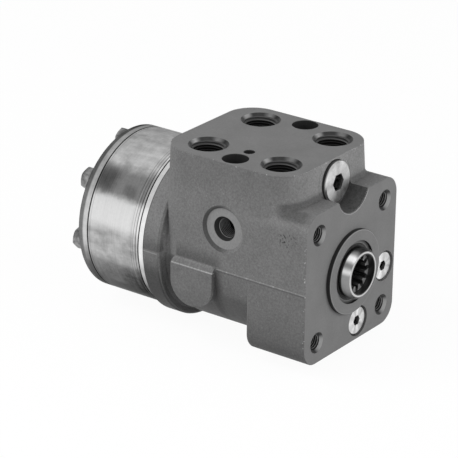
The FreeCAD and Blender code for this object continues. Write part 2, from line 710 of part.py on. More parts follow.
def socket_plug(head, head_thickness, thread, length, key):
    """A screw plug along +Y from y=0, with a hexagon socket."""
    shank = thread / 2 - THREAD_PLAY
    end = head_thickness + SEAL_WASHER_THICKNESS + length
    body = turned([(0, 0), (head / 2 - PLUG_BEVEL, 0), (head / 2, PLUG_BEVEL), (head / 2, head_thickness),
                   (shank, head_thickness), (shank, end - PLUG_BEVEL), (shank - PLUG_BEVEL, end), (0, end)])
    return body.cut(hexagon_rod(key, -OVERRUN, head_thickness + SOCKET_EXTRA))


def front_plugs():
    plug = socket_plug(PLUG_HEAD, PLUG_HEAD_THICKNESS, PLUG_THREAD, PLUG_LENGTH, PLUG_KEY)
    return group([plug.translated(place) for place in plug_places(PLUG_RECESS)])


def seal_washer(head, thread, floor):
    """A soft flat washer between a plug's head and its seat."""
    return pipe(head / 2 - SEAL_WASHER_ROOM, thread / 2 + THREAD_PLAY, floor - SEAL_WASHER_THICKNESS, floor)


def front_plug_seals():
    washer = seal_washer(PLUG_HEAD, PLUG_THREAD, plug_floor())
    return group([washer.translated(place) for place in plug_places()])


# Relief valve

def relief_place(y=0.0):
    return Vector(RELIEF_OFFSET, y, RELIEF_HEIGHT)


def relief_seat_front():
    """Front face of the hardened seat at the chamber's end."""
    return relief_stations()[2] - RELIEF_SEAT_LENGTH


def relief_adjuster_rear():
    return relief_stations()[1] + RELIEF_ADJUSTER_LENGTH


def relief_collar_front():
    """Front face of the poppet's collar, on which the spring presses."""
    return relief_seat_front() - BALL_PLAY - RELIEF_COLLAR_THICKNESS


def relief_plug():
    plug = socket_plug(RELIEF_HEAD, RELIEF_HEAD_THICKNESS, RELIEF_THREAD, RELIEF_PLUG_LENGTH, RELIEF_KEY)
    return plug.translated(relief_place(RELIEF_FACE))


def relief_plug_seal():
    return seal_washer(RELIEF_HEAD, RELIEF_THREAD, relief_stations()[0]).translated(relief_place())


def relief_adjuster():
    """The screw behind the plug that loads the spring."""
    front, rear = relief_stations()[1], relief_adjuster_rear()
    body = rod(RELIEF_CHAMBER / 2 - THREAD_PLAY, front, rear)
    key = hexagon_rod(RELIEF_ADJUSTER_KEY, front - OVERRUN, (front + rear) / 2)
    return body.cut(key).translated(relief_place())


def relief_seat():
    """A hardened bush with a tapered mouth."""
    front, rear = relief_seat_front(), relief_stations()[2]
    mouth, throat = RELIEF_SEAT_MOUTH / 2, RELIEF_SEAT_THROAT / 2
    outer = RELIEF_CHAMBER / 2 - THREAD_PLAY
    profile = [(mouth, front), (outer, front), (outer, rear), (throat, rear),
               (throat, front + RELIEF_SEAT_TAPER)]
    return turned(profile).translated(relief_place())


def relief_poppet():
    """A cone on a guided stem, closed on its seat at rest."""
    front, collar = relief_seat_front(), relief_collar_front()
    mouth, throat = RELIEF_SEAT_MOUTH / 2 - BALL_PLAY, RELIEF_SEAT_THROAT / 2 - BALL_PLAY
    flange, stem = RELIEF_COLLAR / 2, RELIEF_STEM / 2
    tip = front + RELIEF_SEAT_TAPER
    profile = [(0, collar - RELIEF_STEM_LENGTH), (stem, collar - RELIEF_STEM_LENGTH), (stem, collar),
               (flange, collar), (flange, front - BALL_PLAY), (mouth, front - BALL_PLAY), (mouth, front),
               (throat, tip), (0, tip)]
    return turned(profile).translated(relief_place())


def relief_spring():
    front, rear = relief_adjuster_rear(), relief_collar_front()
    return coil((RELIEF_SPRING_DIAMETER - RELIEF_SPRING_WIRE) / 2, RELIEF_SPRING_WIRE, rear - front,
                RELIEF_SPRING_TURNS, relief_place(front), STEERING_AXIS)


# Shock valves and check valve

def shock_sites():
    return [Vector(x, PORT_PATTERN_CENTRE, 0) for x in (-VALVE_HOLE_SPACING / 2, VALVE_HOLE_SPACING / 2)]


def upright(shape):
    """Turn a piece made along +Y so that it points down."""
    shape.rotate(Vector(0, 0, 0), Vector(1, 0, 0), -90)
    return shape


def shock_plugs():
    """Two headless screw plugs that stop on the shoulder of their holes."""
    body = rod(VALVE_HOLE / 2 - THREAD_PLAY, 0, SHOCK_PLUG_LENGTH).cut(
        hexagon_rod(SHOCK_KEY, -OVERRUN, SHOCK_PLUG_LENGTH / 2))
    top = shock_floor() + SHOCK_PLUG_LENGTH
    return group([upright(body.copy()).translated(site + Vector(0, 0, top)) for site in shock_sites()])


def shock_ball_height():
    """Centre of a ball that rests on the rim of its seat drilling."""
    ball, seat = SHOCK_BALL / 2 + BALL_PLAY, SHOCK_SEAT / 2
    return shock_floor() - SHOCK_CHAMBER_LENGTH + math.sqrt(ball * ball - seat * seat)


def shock_ball(side):
    return Part.makeSphere(SHOCK_BALL / 2, shock_sites()[side] + Vector(0, 0, shock_ball_height()))


def shock_spring(side):
    """A spring between a shock valve's plug and its ball, whose top it reaches round."""
    coil_radius = (SHOCK_SPRING_DIAMETER - SHOCK_SPRING_WIRE) / 2
    top = shock_floor()
    contact = SHOCK_BALL / 2 + SHOCK_SPRING_WIRE / 2
    bottom = shock_ball_height() + math.sqrt(contact ** 2 - coil_radius ** 2) - SHOCK_SPRING_WIRE / 2
    return coil(coil_radius, SHOCK_SPRING_WIRE, top - bottom, SHOCK_SPRING_TURNS,
                shock_sites()[side] + Vector(0, 0, top), Vector(0, 0, -1))


def check_site():
    x, y = port_places()[1]
    return Vector(x, y, 0)


def check_bush():
    """A screwed bush in the pressure port that the check ball closes from below."""
    body = pipe(CHECK_CHAMBER / 2 - THREAD_PLAY, CHECK_BUSH_BORE / 2, 0, CHECK_BUSH_LENGTH)
    return upright(body).translated(check_site() + Vector(0, 0, PORT_BOTTOM))


def check_ball_height():
    """The ball's rest place, its travel below the bush's mouth."""
    ball, mouth = CHECK_BALL / 2 + BALL_PLAY, CHECK_BUSH_BORE / 2
    closed = PORT_BOTTOM - CHECK_BUSH_LENGTH - math.sqrt(ball * ball - mouth * mouth)
    return closed - CHECK_TRAVEL


def check_floor():
    """The chamber's floor, just under the open ball."""
    return check_ball_height() - CHECK_BALL / 2 - BALL_PLAY


def check_ball():
    return Part.makeSphere(CHECK_BALL / 2, check_site() + Vector(0, 0, check_ball_height()))


# Rotary valve

def control_sleeve():
    """The outer valve part: metering holes, port slots, and grooves for the two retaining rings."""
    outer, inner = SLEEVE_DIAMETER / 2, SPOOL_DIAMETER / 2 + VALVE_CLEARANCE
    sleeve = pipe(outer, inner, SLEEVE_FRONT, SLEEVE_REAR)
    hole = drilling(METERING_HOLE / 2, Vector(inner - OVERRUN, METERING_STATION, 0),
                    Vector(outer + OVERRUN, METERING_STATION, 0))
    cutters = spread(hole, METERING_COUNT)
    for station in GROOVE_STATIONS[2:]:
        row = hole.translated(Vector(0, station - METERING_STATION, 0))
        cutters += spread(row, METERING_COUNT // 2, feed_offset())
    cutters.append(ring_groove(PIN_STATION, PIN_RING_WIDTH))
    cutters.append(ring_groove(SPRING_STATION, SPRING_WIDTH))
    cutters.append(drilling(PIN_DIAMETER / 2 + BALL_PLAY, Vector(-outer, PIN_STATION, 0),
                            Vector(outer, PIN_STATION, 0)))
    cutters.append(spring_slot(outer))
    return sleeve.cut(cutters)


def feed_offset():
    """Angle of the first feed slot, halfway between two metering holes."""
    return 180.0 / METERING_COUNT


def spring_slot(reach):
    """The slot through the sleeve and the spool that holds the leaf springs."""
    return Part.makeBox(2 * reach, SPRING_WIDTH, SPRING_SLOT,
                        Vector(-reach, SPRING_STATION - SPRING_WIDTH / 2, -SPRING_SLOT / 2))


def ring_groove(station, width):
    """A shallow groove round the sleeve for a retaining ring."""
    outer = SLEEVE_DIAMETER / 2
    return pipe(outer + OVERRUN, outer - PIN_RING_WALL - 2 * VALVE_CLEARANCE, station - width / 2,
                station + width / 2)


def retaining_ring(station, width):
    """A thin band round the sleeve that keeps the pin or the springs in."""
    outer = SLEEVE_DIAMETER / 2 - VALVE_CLEARANCE
    half = width / 2 - BALL_PLAY
    return pipe(outer, outer - PIN_RING_WALL, station - half, station + half)


def ring_inside():
    """Inner radius of the retaining rings, which stops the pin and the springs."""
    return SLEEVE_DIAMETER / 2 - VALVE_CLEARANCE - PIN_RING_WALL


def cross_pin():
    half = math.sqrt((ring_inside() - BALL_PLAY) ** 2 - PIN_DIAMETER ** 2 / 4)
    return drilling(PIN_DIAMETER / 2, Vector(-half, PIN_STATION, 0), Vector(half, PIN_STATION, 0))


def pin_window():
    """Radius of the spool's holes, which let the pin swing to its stop."""
    return PIN_DIAMETER / 2 + SPOOL_DIAMETER / 2 * math.sin(math.radians(PIN_SWING)) + 2 * BALL_PLAY


def control_spool():
    """The inner valve part, splined for the steering column at its neck."""
    outer, tip, neck = SPOOL_DIAMETER / 2, NECK_TIP_DIAMETER / 2, NECK_DIAMETER / 2
    spline_end = -NECK_REACH + NECK_MOUTH_DEPTH + COLUMN_SPLINE_LENGTH
    body = turned([(0, -NECK_REACH), (tip, -NECK_REACH), (neck, neck - tip - NECK_REACH),
                   (neck, SLEEVE_FRONT), (outer, SLEEVE_FRONT), (outer, SPOOL_REAR), (0, SPOOL_REAR)])
    cutters = [rod(NECK_MOUTH / 2, -NECK_REACH - OVERRUN, -NECK_REACH + NECK_MOUTH_DEPTH),
               spline_bar(COLUMN_SPLINE_MINOR / 2, COLUMN_SPLINE_MAJOR / 2, -NECK_REACH, spline_end),
               rod(COLUMN_SPLINE_MAJOR / 2, spline_end, spline_end + COLUMN_SPLINE_RELIEF),
               rod(SPOOL_BORE / 2, spline_end + COLUMN_SPLINE_WEB, SPOOL_REAR + OVERRUN),
               drilling(pin_window(), Vector(-outer, PIN_STATION, 0), Vector(outer, PIN_STATION, 0)),
               spring_slot(outer)]
    slot = Part.makeBox(FEED_SLOT_DEPTH + OVERRUN, METERING_STATION - GROOVE_STATIONS[2], METERING_HOLE,
                        Vector(outer - FEED_SLOT_DEPTH, GROOVE_STATIONS[2], -METERING_HOLE / 2))
    cutters += spread(slot, METERING_COUNT // 2, feed_offset())
    return body.cut(cutters)


def leaf(bow, side):
    """One leaf spring across the valve, its ends bowed away from the middle of the slot."""
    y0 = SPRING_STATION - SPRING_WIDTH / 2 + BALL_PLAY
    half = math.sqrt((ring_inside() - BALL_PLAY) ** 2 - SPRING_SLOT ** 2 / 4)
    edges = []
    inner = BALL_PLAY / 2 if bow == 0 else SPRING_LEAF + BALL_PLAY
    ends = [Vector(half, y0, side * (inner + bow)), Vector(half, y0, side * (inner + bow + SPRING_LEAF))]
    mirrored = [Vector(-end.x, y0, end.z) for end in ends]
    if bow == 0:
        edges += [Part.makeLine(mirrored[0], ends[0]), Part.makeLine(mirrored[1], ends[1])]
    else:
        middles = [Vector(0, y0, side * inner), Vector(0, y0, side * (inner + SPRING_LEAF))]
        edges += [Part.Arc(mirrored[i], middles[i], ends[i]).toShape() for i in (0, 1)]
    edges += [Part.makeLine(*ends), Part.makeLine(*mirrored)]
    face = Part.Face(Part.Wire(Part.__sortEdges__(edges)))
    return face.extrude(Vector(0, SPRING_WIDTH - 2 * BALL_PLAY, 0))


def centring_springs():
    return group([leaf(bow, side) for bow in (0, SPRING_BOW) for side in (-1, 1)])


# Gear set

def broken_disc(front, rear):
    """A disc of the gear set's diameter with both rims broken."""
    radius = GEAR_SET_RADIUS
    rim = radius - RIM_BREAK
    return turned([(0, front), (rim, front), (radius, front + RIM_BREAK), (radius, rear - RIM_BREAK),
                   (rim, rear), (0, rear)])


def distributor_plate():
    """The flat plate that opens each chamber of the gear set to the valve."""
    plate = broken_disc(PLATE_FRONT, RING_FRONT).cut(
        rod(CARDAN_DIAMETER / 2 + ORBIT_RADIUS + PLATE_ROOM, PLATE_FRONT - OVERRUN, RING_FRONT + OVERRUN))
    radius = LOBE_CIRCLE_RADIUS - LOBE_RADIUS
    slot = rod(CHAMBER_PORT / 2, PLATE_FRONT - OVERRUN, RING_FRONT + OVERRUN, radius)
    cutters = spread(slot, LOBES, FIRST_LOBE_ANGLE + 180.0 / LOBES)
    cutters += bolt_bores(BOLT_HOLE / 2, PLATE_FRONT - OVERRUN, RING_FRONT + OVERRUN)
    return plate.cut(cutters)


def ring_outline(y):
    """The gear ring's cavity: seven round lobes joined by tangent valley arcs."""
    reach = LOBE_RADIUS + CAVITY_RADIUS
    half_pitch = math.pi / LOBES
    distance = ((reach * reach - LOBE_CIRCLE_RADIUS ** 2)
                / (2 * (reach - LOBE_CIRCLE_RADIUS * math.cos(half_pitch))))
    valley_arc = CAVITY_RADIUS - distance
    edges = []
    for i in range(LOBES):
        angle = FIRST_LOBE_ANGLE + 360.0 * i / LOBES
        lobe = polar(LOBE_CIRCLE_RADIUS, angle, y)
        crest = polar(LOBE_CIRCLE_RADIUS - LOBE_RADIUS, angle, y)
        valleys = [polar(distance, angle + sign * 180.0 / LOBES, y) for sign in (-1, 1)]
        touch = [lobe + (centre - lobe).normalize() * LOBE_RADIUS for centre in valleys]
        edges.append(Part.Arc(touch[0], crest, touch[1]).toShape())
        next_lobe = polar(LOBE_CIRCLE_RADIUS, angle + 360.0 / LOBES, y)
        next_touch = next_lobe + (valleys[1] - next_lobe).normalize() * LOBE_RADIUS
        deepest = polar(distance + valley_arc, angle + 180.0 / LOBES, y)
        edges.append(Part.Arc(touch[1], deepest, next_touch).toShape())
    return Part.Wire(edges)


def gear_ring():
    cavity = Part.Face(ring_outline(RING_FRONT)).extrude(Vector(0, RING_WIDTH, 0))
    ring = broken_disc(RING_FRONT, COVER_FRONT).cut(cavity)
    return ring.cut(bolt_bores(BOLT_HOLE / 2, RING_FRONT - OVERRUN, COVER_FRONT + OVERRUN)
                    + [o_ring_groove(RING_FRONT, 1), o_ring_groove(COVER_FRONT, -1)])


def wheel_point(turn):
    """The lobe centre's path about the wheel, moved in by a lobe radius along its normal."""
    fast = LOBES * turn
    swing = LOBES * ORBIT_RADIUS
    x = LOBE_CIRCLE_RADIUS * math.cos(turn) - ORBIT_RADIUS * math.cos(fast)
    z = LOBE_CIRCLE_RADIUS * math.sin(turn) - ORBIT_RADIUS * math.sin(fast)
    dx = -LOBE_CIRCLE_RADIUS * math.sin(turn) + swing * math.sin(fast)
    dz = LOBE_CIRCLE_RADIUS * math.cos(turn) - swing * math.cos(fast)
    offset = (LOBE_RADIUS + GEAR_CLEARANCE) / math.hypot(dx, dz)
    return x - dz * offset, z + dx * offset


def gear_wheel():
    """The six-toothed wheel, which orbits inside the ring by the eccentricity."""
    y0, y1 = RING_FRONT + SIDE_CLEARANCE, COVER_FRONT - SIDE_CLEARANCE
    samples = 24 * (LOBES - 1)
    points = [Vector(x, y0, z) for x, z in (wheel_point(2 * math.pi * i / samples) for i in range(samples))]
    curve = Part.BSplineCurve()
    curve.interpolate(Points=points, PeriodicFlag=True)
    wheel = Part.Face(Part.Wire(curve.toShape())).extrude(Vector(0, y1 - y0, 0))
    bore = spline_bar(DRIVE_SPLINE_MINOR / 2, DRIVE_SPLINE_MAJOR / 2, y0 - OVERRUN, y1 + OVERRUN)
    wheel = wheel.cut(bore)
    return round_axis(wheel, FIRST_LOBE_ANGLE).translated(polar(ORBIT_RADIUS, FIRST_LOBE_ANGLE))


def cardan_shaft():
    """Forked over the cross pin at the front and splined into the orbiting wheel at the back."""
    body, fork = CARDAN_DIAMETER / 2, CARDAN_FORK_DIAMETER / 2
    root = DRIVE_SPLINE_MINOR / 2 - 2 * DRIVE_SPLINE_PLAY
    crest = DRIVE_SPLINE_MAJOR / 2 - 1.5 * DRIVE_SPLINE_PLAY
    front, fork_rear = PIN_STATION - CARDAN_FORK_LENGTH, PIN_STATION + CARDAN_FORK_LENGTH
    head_front, head_rear = HEAD_CENTRE - CARDAN_HEAD_LENGTH / 2, HEAD_CENTRE + CARDAN_HEAD_LENGTH / 2
    tip = head_rear + CARDAN_END
    shaft = turned([(0, front), (fork - CARDAN_BEVEL, front), (fork, front + CARDAN_BEVEL), (fork, fork_rear),
                    (body, fork_rear + CARDAN_TAPER), (body, head_front - CARDAN_BEVEL), (root, head_front),
                    (root, head_rear), (root - CARDAN_BEVEL, tip), (0, tip)])
    teeth = spline_bar(root, crest, head_front, head_rear, DRIVE_SPLINE_PLAY)
    shaft = shaft.fuse(round_axis(teeth, FIRST_LOBE_ANGLE)).cut(fork_slot(fork, front))
    shaft.rotate(Vector(0, PIN_STATION, 0), Vector(1, 0, 0), CARDAN_TILT)
    return shaft


def fork_slot(fork, front):
    """The slot over the pin, deep enough for the shaft's tilt as it orbits."""
    half = PIN_DIAMETER / 2 + SLOT_PLAY
    deepest = PIN_STATION + 2 * fork * math.sin(math.radians(CARDAN_TILT)) + SLOT_PLAY
    reach = fork + OVERRUN
    mouth = Part.makeBox(2 * reach, deepest - front + OVERRUN, 2 * half,
                         Vector(-reach, front - OVERRUN, -half))
    return [mouth, drilling(half, Vector(-reach, deepest, 0), Vector(reach, deepest, 0))]


def cardan_spacer():
    """The loose disc behind the cardan shaft, which rides in the wheel's bore."""
    front = HEAD_CENTRE + CARDAN_HEAD_LENGTH / 2 + CARDAN_END + SPACER_GAP
    radius = DRIVE_SPLINE_MINOR / 2 * math.cos(math.radians(360.0 / SPLINE_TEETH / 4)) - SPACER_PLAY
    return rod(radius, front, COVER_FRONT - SIDE_CLEARANCE, z=ORBIT_RADIUS)


def end_cover():
    cover = turned([(0, COVER_FRONT), (GEAR_SET_RADIUS - RIM_BREAK, COVER_FRONT),
                    (GEAR_SET_RADIUS, COVER_FRONT + RIM_BREAK), (GEAR_SET_RADIUS, COVER_REAR - COVER_CHAMFER),
                    (GEAR_SET_RADIUS - COVER_CHAMFER, COVER_REAR), (0, COVER_REAR)])
    return cover.cut(bolt_bores(BOLT_HOLE / 2, COVER_FRONT - OVERRUN, COVER_REAR + OVERRUN))


def o_ring(face, inward):
    """A squeezed O-ring that fills its groove's depth."""
    outer, inner = O_RING_RADIUS + O_RING_WIDTH / 2, O_RING_RADIUS - O_RING_WIDTH / 2
    y0, y1 = sorted((face, face + inward * O_RING_DEPTH))
    bulge = (y1 - y0) / 4
    return turned([(inner + bulge, y0), (outer - bulge, y0), (outer, y0 + bulge), (outer, y1 - bulge),
                   (outer - bulge, y1), (inner + bulge, y1), (inner, y1 - bulge), (inner, y0 + bulge)])


def cover_washers():
    washer = pipe(WASHER_DIAMETER / 2, BOLT_HOLE / 2, COVER_REAR, COVER_REAR + WASHER_THICKNESS,
                  BOLT_CIRCLE_RADIUS)
    return group(spread(washer, LOBES, FIRST_LOBE_ANGLE))


def cover_bolts():
    """Seven hexagon screws from the cover into the housing."""
    seat = COVER_REAR + WASHER_THICKNESS
    top = seat + BOLT_HEAD_HEIGHT
    end = HOUSING_LENGTH - BOLT_ENGAGEMENT
    head = hexagon_rod(BOLT_HEAD_ACROSS_FLATS, seat, top)
    corner = BOLT_HEAD_ACROSS_FLATS / math.sqrt(3)
    crown = turned([(0, seat), (corner, seat), (corner, top - BOLT_HEAD_BEVEL),
                    (corner - 2 * BOLT_HEAD_BEVEL, top), (0, top)])
    bolt = head.common(crown).fuse(rod(BOLT_THREAD / 2 - THREAD_PLAY, end, seat))
    return group(spread(bolt.translated(Vector(BOLT_CIRCLE_RADIUS, 0, 0)), LOBES, FIRST_LOBE_ANGLE))


NODES = {
    "housing": housing,
    "dust_seal": dust_seal,
    "seal_spacer": seal_spacer,
    "shaft_seal": shaft_seal,
    "bearing_front_race": lambda: race(WALL_BEHIND_SEAL),
    "bearing_rear_race": lambda: race(SLEEVE_FRONT - RACE_THICKNESS),
    "bearing_cage": bearing_cage,
    "bearing_needles": bearing_needles,
    "front_plugs": front_plugs,
    "front_plug_seals": front_plug_seals,
    "relief_plug": relief_plug,
    "relief_plug_seal": relief_plug_seal,
    "relief_adjuster": relief_adjuster,
    "relief_spring": relief_spring,
    "relief_poppet": relief_poppet,
    "relief_seat": relief_seat,
    "shock_plugs": shock_plugs,
    "shock_spring_left": lambda: shock_spring(0),
    "shock_spring_right": lambda: shock_spring(1),
    "shock_ball_left": lambda: shock_ball(0),
    "shock_ball_right": lambda: shock_ball(1),
    "check_bush": check_bush,
    "check_ball": check_ball,
    "control_sleeve": control_sleeve,
    "control_spool": control_spool,
    "cross_pin": cross_pin,
    "pin_ring": lambda: retaining_ring(PIN_STATION, PIN_RING_WIDTH),
    "spring_ring": lambda: retaining_ring(SPRING_STATION, SPRING_WIDTH),
    "centring_springs": centring_springs,
    "cardan_shaft": cardan_shaft,
    "cardan_spacer": cardan_spacer,
    "o_ring_housing": lambda: o_ring(HOUSING_LENGTH, -1),
    "distributor_plate": distributor_plate,
    "o_ring_plate": lambda: o_ring(RING_FRONT, 1),
    "gear_ring": gear_ring,
    "gear_wheel": gear_wheel,
    "o_ring_cover": lambda: o_ring(COVER_FRONT, -1),
    "end_cover": end_cover,
    "cover_washers": cover_washers,
    "cover_bolts": cover_bolts,
}


def main():
    os.makedirs("parts", exist_ok=True)
    for name, make in NODES.items():
        shape = make()
        shape.exportStep(os.path.join("parts", name + ".step"))


main()
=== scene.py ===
import json
import math

import bpy
import numpy as np
from mathutils import Matrix, Vector
from mathutils.bvhtree import BVHTree


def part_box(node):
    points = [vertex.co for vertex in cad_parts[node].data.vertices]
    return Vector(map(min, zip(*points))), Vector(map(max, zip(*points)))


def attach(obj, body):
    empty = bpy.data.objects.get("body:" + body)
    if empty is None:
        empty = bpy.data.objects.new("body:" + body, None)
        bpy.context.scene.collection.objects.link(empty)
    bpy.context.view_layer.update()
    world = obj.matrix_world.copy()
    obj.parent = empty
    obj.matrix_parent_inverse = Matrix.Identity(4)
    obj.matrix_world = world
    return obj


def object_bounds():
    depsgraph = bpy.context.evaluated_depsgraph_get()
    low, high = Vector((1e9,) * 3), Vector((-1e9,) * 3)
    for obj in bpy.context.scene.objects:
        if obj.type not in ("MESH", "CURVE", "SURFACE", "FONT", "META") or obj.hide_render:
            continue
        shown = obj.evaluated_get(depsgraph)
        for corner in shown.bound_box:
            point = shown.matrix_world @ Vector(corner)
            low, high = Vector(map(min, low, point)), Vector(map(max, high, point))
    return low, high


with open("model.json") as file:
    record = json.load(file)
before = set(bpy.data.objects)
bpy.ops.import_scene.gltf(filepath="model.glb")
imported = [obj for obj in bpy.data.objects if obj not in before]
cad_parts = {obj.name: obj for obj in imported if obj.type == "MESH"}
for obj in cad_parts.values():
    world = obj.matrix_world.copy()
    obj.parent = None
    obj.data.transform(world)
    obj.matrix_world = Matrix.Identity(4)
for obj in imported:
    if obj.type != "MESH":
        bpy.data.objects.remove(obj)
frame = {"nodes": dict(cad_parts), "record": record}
cad_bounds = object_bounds()

# Orbital steering unit: metres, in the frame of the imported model.
# -Y leaves the column flange, +Y runs back through the gear set, +Z is the port face.

MM = 0.001
DEGREES = 180.0 / math.pi
MOUNTS = {mount["name"]: mount for mount in frame["record"]["mounts"]}

# Camera, solved from the photograph: degrees, metres, and millimetres for the lens
CAMERA_AZIMUTH = -53.88
CAMERA_ELEVATION = 23.0
CAMERA_ROLL = 0.78
CAMERA_DISTANCE = 1.5583
CAMERA_AIM = Vector((-0.0155, 0.0805, 0.0116))
CAMERA_LENS = 198.88
CAMERA_SENSOR = 36.0
CAMERA_NEAR, CAMERA_FAR = 0.05, 20.0

# Places on the casting, in millimetres
PORT_MIDDLE = 61.2  # y of the side port, the shock valve holes and the port square's middle
PORT_REACH = 27.0  # from there to each port's axis, along x and along y
PORT_FACE = 69.3
SHOCK_REACH = 36.4
RISER_REACH = 22.3
SIDE_PORT_HEIGHT = 27.1
SPOTFACE_REACH = 46.5
COLUMN_REACH = 35.0
NOTCH_X, NOTCH_Z, NOTCH_RADIUS = 0.3, 54.9, 16.6
FLANGE_TOP = 49.1
FOOT_REAR = 43.0

# Threads: pitch, depth and the column threads' ends, in millimetres
PORT_PITCH, PORT_THREAD_DEPTH = 1.814, 1.162
SENSE_PITCH, SENSE_THREAD_DEPTH = 1.337, 0.856
COLUMN_PITCH, COLUMN_THREAD_DEPTH = 1.5, 0.85
COLUMN_THREAD_START, COLUMN_THREAD_END = 1.7, 19.8
THREAD_STEPS_PER_TURN, THREAD_ROWS_PER_PITCH = 72, 8

# Parting line of the casting, in metres
PARTING_WIDTH = 1.1 * MM
PARTING_HEIGHT = 0.34 * MM
PARTING_SUNK = 0.03 * MM
PARTING_START, PARTING_END, PARTING_STATIONS = 0.0004, 0.0655, 80

# The burr round the notch, in millimetres, and the angle that it stops short, in radians
BURR_WIDTH, BURR_DEPTH, BURR_PROUD, BURR_OVERLAP = 0.60, 0.60, 0.06, 0.03
BURR_END_ANGLE = 0.03
BURR_STATIONS, BURR_STEPS = 97, (0.0, 0.35, 1.0)

# Plugs: node, reach of its key from its centre and y at which the key darkens, in millimetres
PLUG_KEYS = (("front_plugs", 4.7, 2.6), ("relief_plug", 5.9, 12.4))
PLUGS_APART = 30.0

# The neck of the spool: y where its chamfer ends, and the slopes that its bump shows
NECK_CHAMFER_END = -7.1
CONE_SLOPE, CHAMFER_SLOPE = 0.306, -0.75
SPLINE_SPACING = 30.0

# Finishes, and greys of painted shade and painted highlight
CAST_GREY, MACHINED_GREY, SPOTFACE_GREY = 0.197, 0.182, 0.40
RECESS_SHADE_GREY, PIT_GREY, LIP_HIGHLIGHT_GREY = 0.03, 0.045, 0.08
BORE_SHADE_GREY, NOTCH_SHADE_GREY, NECK_BORE_SHADE_GREY = 0.022, 0.078, 0.018
CAST_SPECULAR = 0.3
MOST_SHADE = 0.75
RING_TINT = 0.30
TURNED_LINE = 0.8  # width of a turned line, in millimetres

# Studio: metres, watts, and greys and strengths of light
FLOOR_REACH = 6.0
FLOOR_GREY, FLOOR_WHITE, FLOOR_GLOW = 0.45, 0.98, 0.95
WORLD_LEVEL, WHITE_LEVEL, GAP_DIMMING = 0.42, 1.0, 0.30
LAMPS = (  # name, direction, distance, size, power
    ("key", (-0.55, 0.42, 0.72), 1.5, 1.0, 14.0),
    ("fill", (0.05, -0.95, 0.30), 1.6, 1.3, 16.0))


# Shader arithmetic

class Value:
    """A shader socket. Arithmetic on it adds Math nodes to the same tree."""

    def __init__(self, net, socket):
        self.net = net
        self.socket = socket

    def __add__(self, other):
        return self.net.math("ADD", self, other)

    def __sub__(self, other):
        return self.net.math("SUBTRACT", self, other)

    def __rsub__(self, other):
        return self.net.math("SUBTRACT", other, self)

    def __mul__(self, other):
        return self.net.math("MULTIPLY", self, other)

    def __truediv__(self, other):
        return self.net.math("DIVIDE", self, other)

    def __pow__(self, other):
        return self.net.math("POWER", self, other)

    def __abs__(self):
        return self.net.math("ABSOLUTE", self)

    __radd__ = __add__
    __rmul__ = __mul__

    def least(self, other):
        return self.net.math("MINIMUM", self, other)

    def most(self, other):
        return self.net.math("MAXIMUM", self, other)

    def rise(self, low, high, start=0.0, end=1.0):
        """A smooth step from start, at low, to end, at high."""
        return self.net.node("MapRange", {"interpolation_type": "SMOOTHSTEP"},
                             {"Value": self, "From Min": low, "From Max": high,
                              "To Min": start, "To Max": end})

    def fall(self, low, high):
        """A smooth step from 1, at low, down to 0, at high."""
        return self.rise(low, high, 1.0, 0.0)

    def near(self, middle, reach):
        """1 at a middle value, falling smoothly to 0 at a reach to either side."""
        return abs(self - middle).fall(0.0, reach)


class Net:
    """A node tree. Every node but arithmetic comes from node()."""

    def __init__(self, tree):
        self.tree = tree
        tree.nodes.clear()

    def node(self, kind, settings=(), inputs=(), out=0):
        """Adds a node, sets its settings, then fills its sockets with values or links."""
        made = self.tree.nodes.new("ShaderNode" + kind)
        for key, value in dict(settings).items():
            setattr(made, key, value)
        for key, value in dict(inputs).items():
            if isinstance(value, Value):
                self.tree.links.new(value.socket, made.inputs[key])
            else:
                made.inputs[key].default_value = value
        return Value(self, made.outputs[out]) if len(made.outputs) else None

    def math(self, operation, first, second=0.0):
        return self.node("Math", {"operation": operation}, {0: first, 1: second})

    def angle(self, up, along):
        """The angle of a direction, in degrees."""
        return self.math("ARCTAN2", up, along) * DEGREES

    def mix(self, factor, first, second):
        """A colour between two greys or colours."""
        return self.node("Mix", {"data_type": "RGBA"},
                         {0: factor, 6: colour(first), 7: colour(second)}, out=2)

    def place(self):
        """Object coordinates as a vector, and x, y and z in millimetres."""
        here = self.node("TexCoord", out="Object")
        split = [self.node("SeparateXYZ", inputs={0: here}, out=axis) for axis in "XYZ"]
        return here, [part * 1000.0 for part in split]

    def noise(self, here, size_mm, detail=2.0, roughness=0.5):
        """Noise from 0 to 1 with a feature size in millimetres."""
        return self.node("TexNoise", {}, {"Vector": here, "Scale": 1000.0 / size_mm,
                                          "Detail": detail, "Roughness": roughness})

    def rings(self, where, detail=2.0):
        """Noise from 0 to 1 along one number, such as a radius."""
        return self.node("TexNoise", {"noise_dimensions": "1D"}, {"W": where, "Detail": detail})

    def stretched(self, here, x, y, z):
        """Coordinates scaled along each axis, for streaks."""
        return self.node("Mapping", {"vector_type": "POINT"},
                         {"Vector": here, "Scale": (x, y, z)})

    def bump(self, height, distance_mm, strength=1.0, normal=None):
        inputs = {"Height": height, "Distance": distance_mm * MM, "Strength": strength}
        if normal is not None:
            inputs["Normal"] = normal
        return self.node("Bump", {}, inputs)

    def surface(self, **sockets):
        """Ends the tree in a Principled surface; names are sockets with _ for spaces."""
        inputs = {key.replace("_", " "): value for key, value in sockets.items()}
        inputs["Base Color"] = colour(inputs["Base Color"])
        shader = self.node("BsdfPrincipled", {}, inputs)
        self.node("OutputMaterial", {}, {"Surface": shader})


def colour(value):
    """A grey number becomes a colour; a colour or a socket stays as it is."""
    if isinstance(value, (int, float)):
        return (value, value, value, 1.0)
    return value


def across(u, v):
    """Distance from a line, given by its two offsets."""
    return (u * u + v * v) ** 0.5


def beside(u, reach):
    """Offset from the nearer of two axes, one at -reach and one at reach."""
    return u - u.net.math("SIGN", u) * reach


def strongest(first, *others):
    """The highest of several masks."""
    for other in others:
        first = first.most(other)
    return first


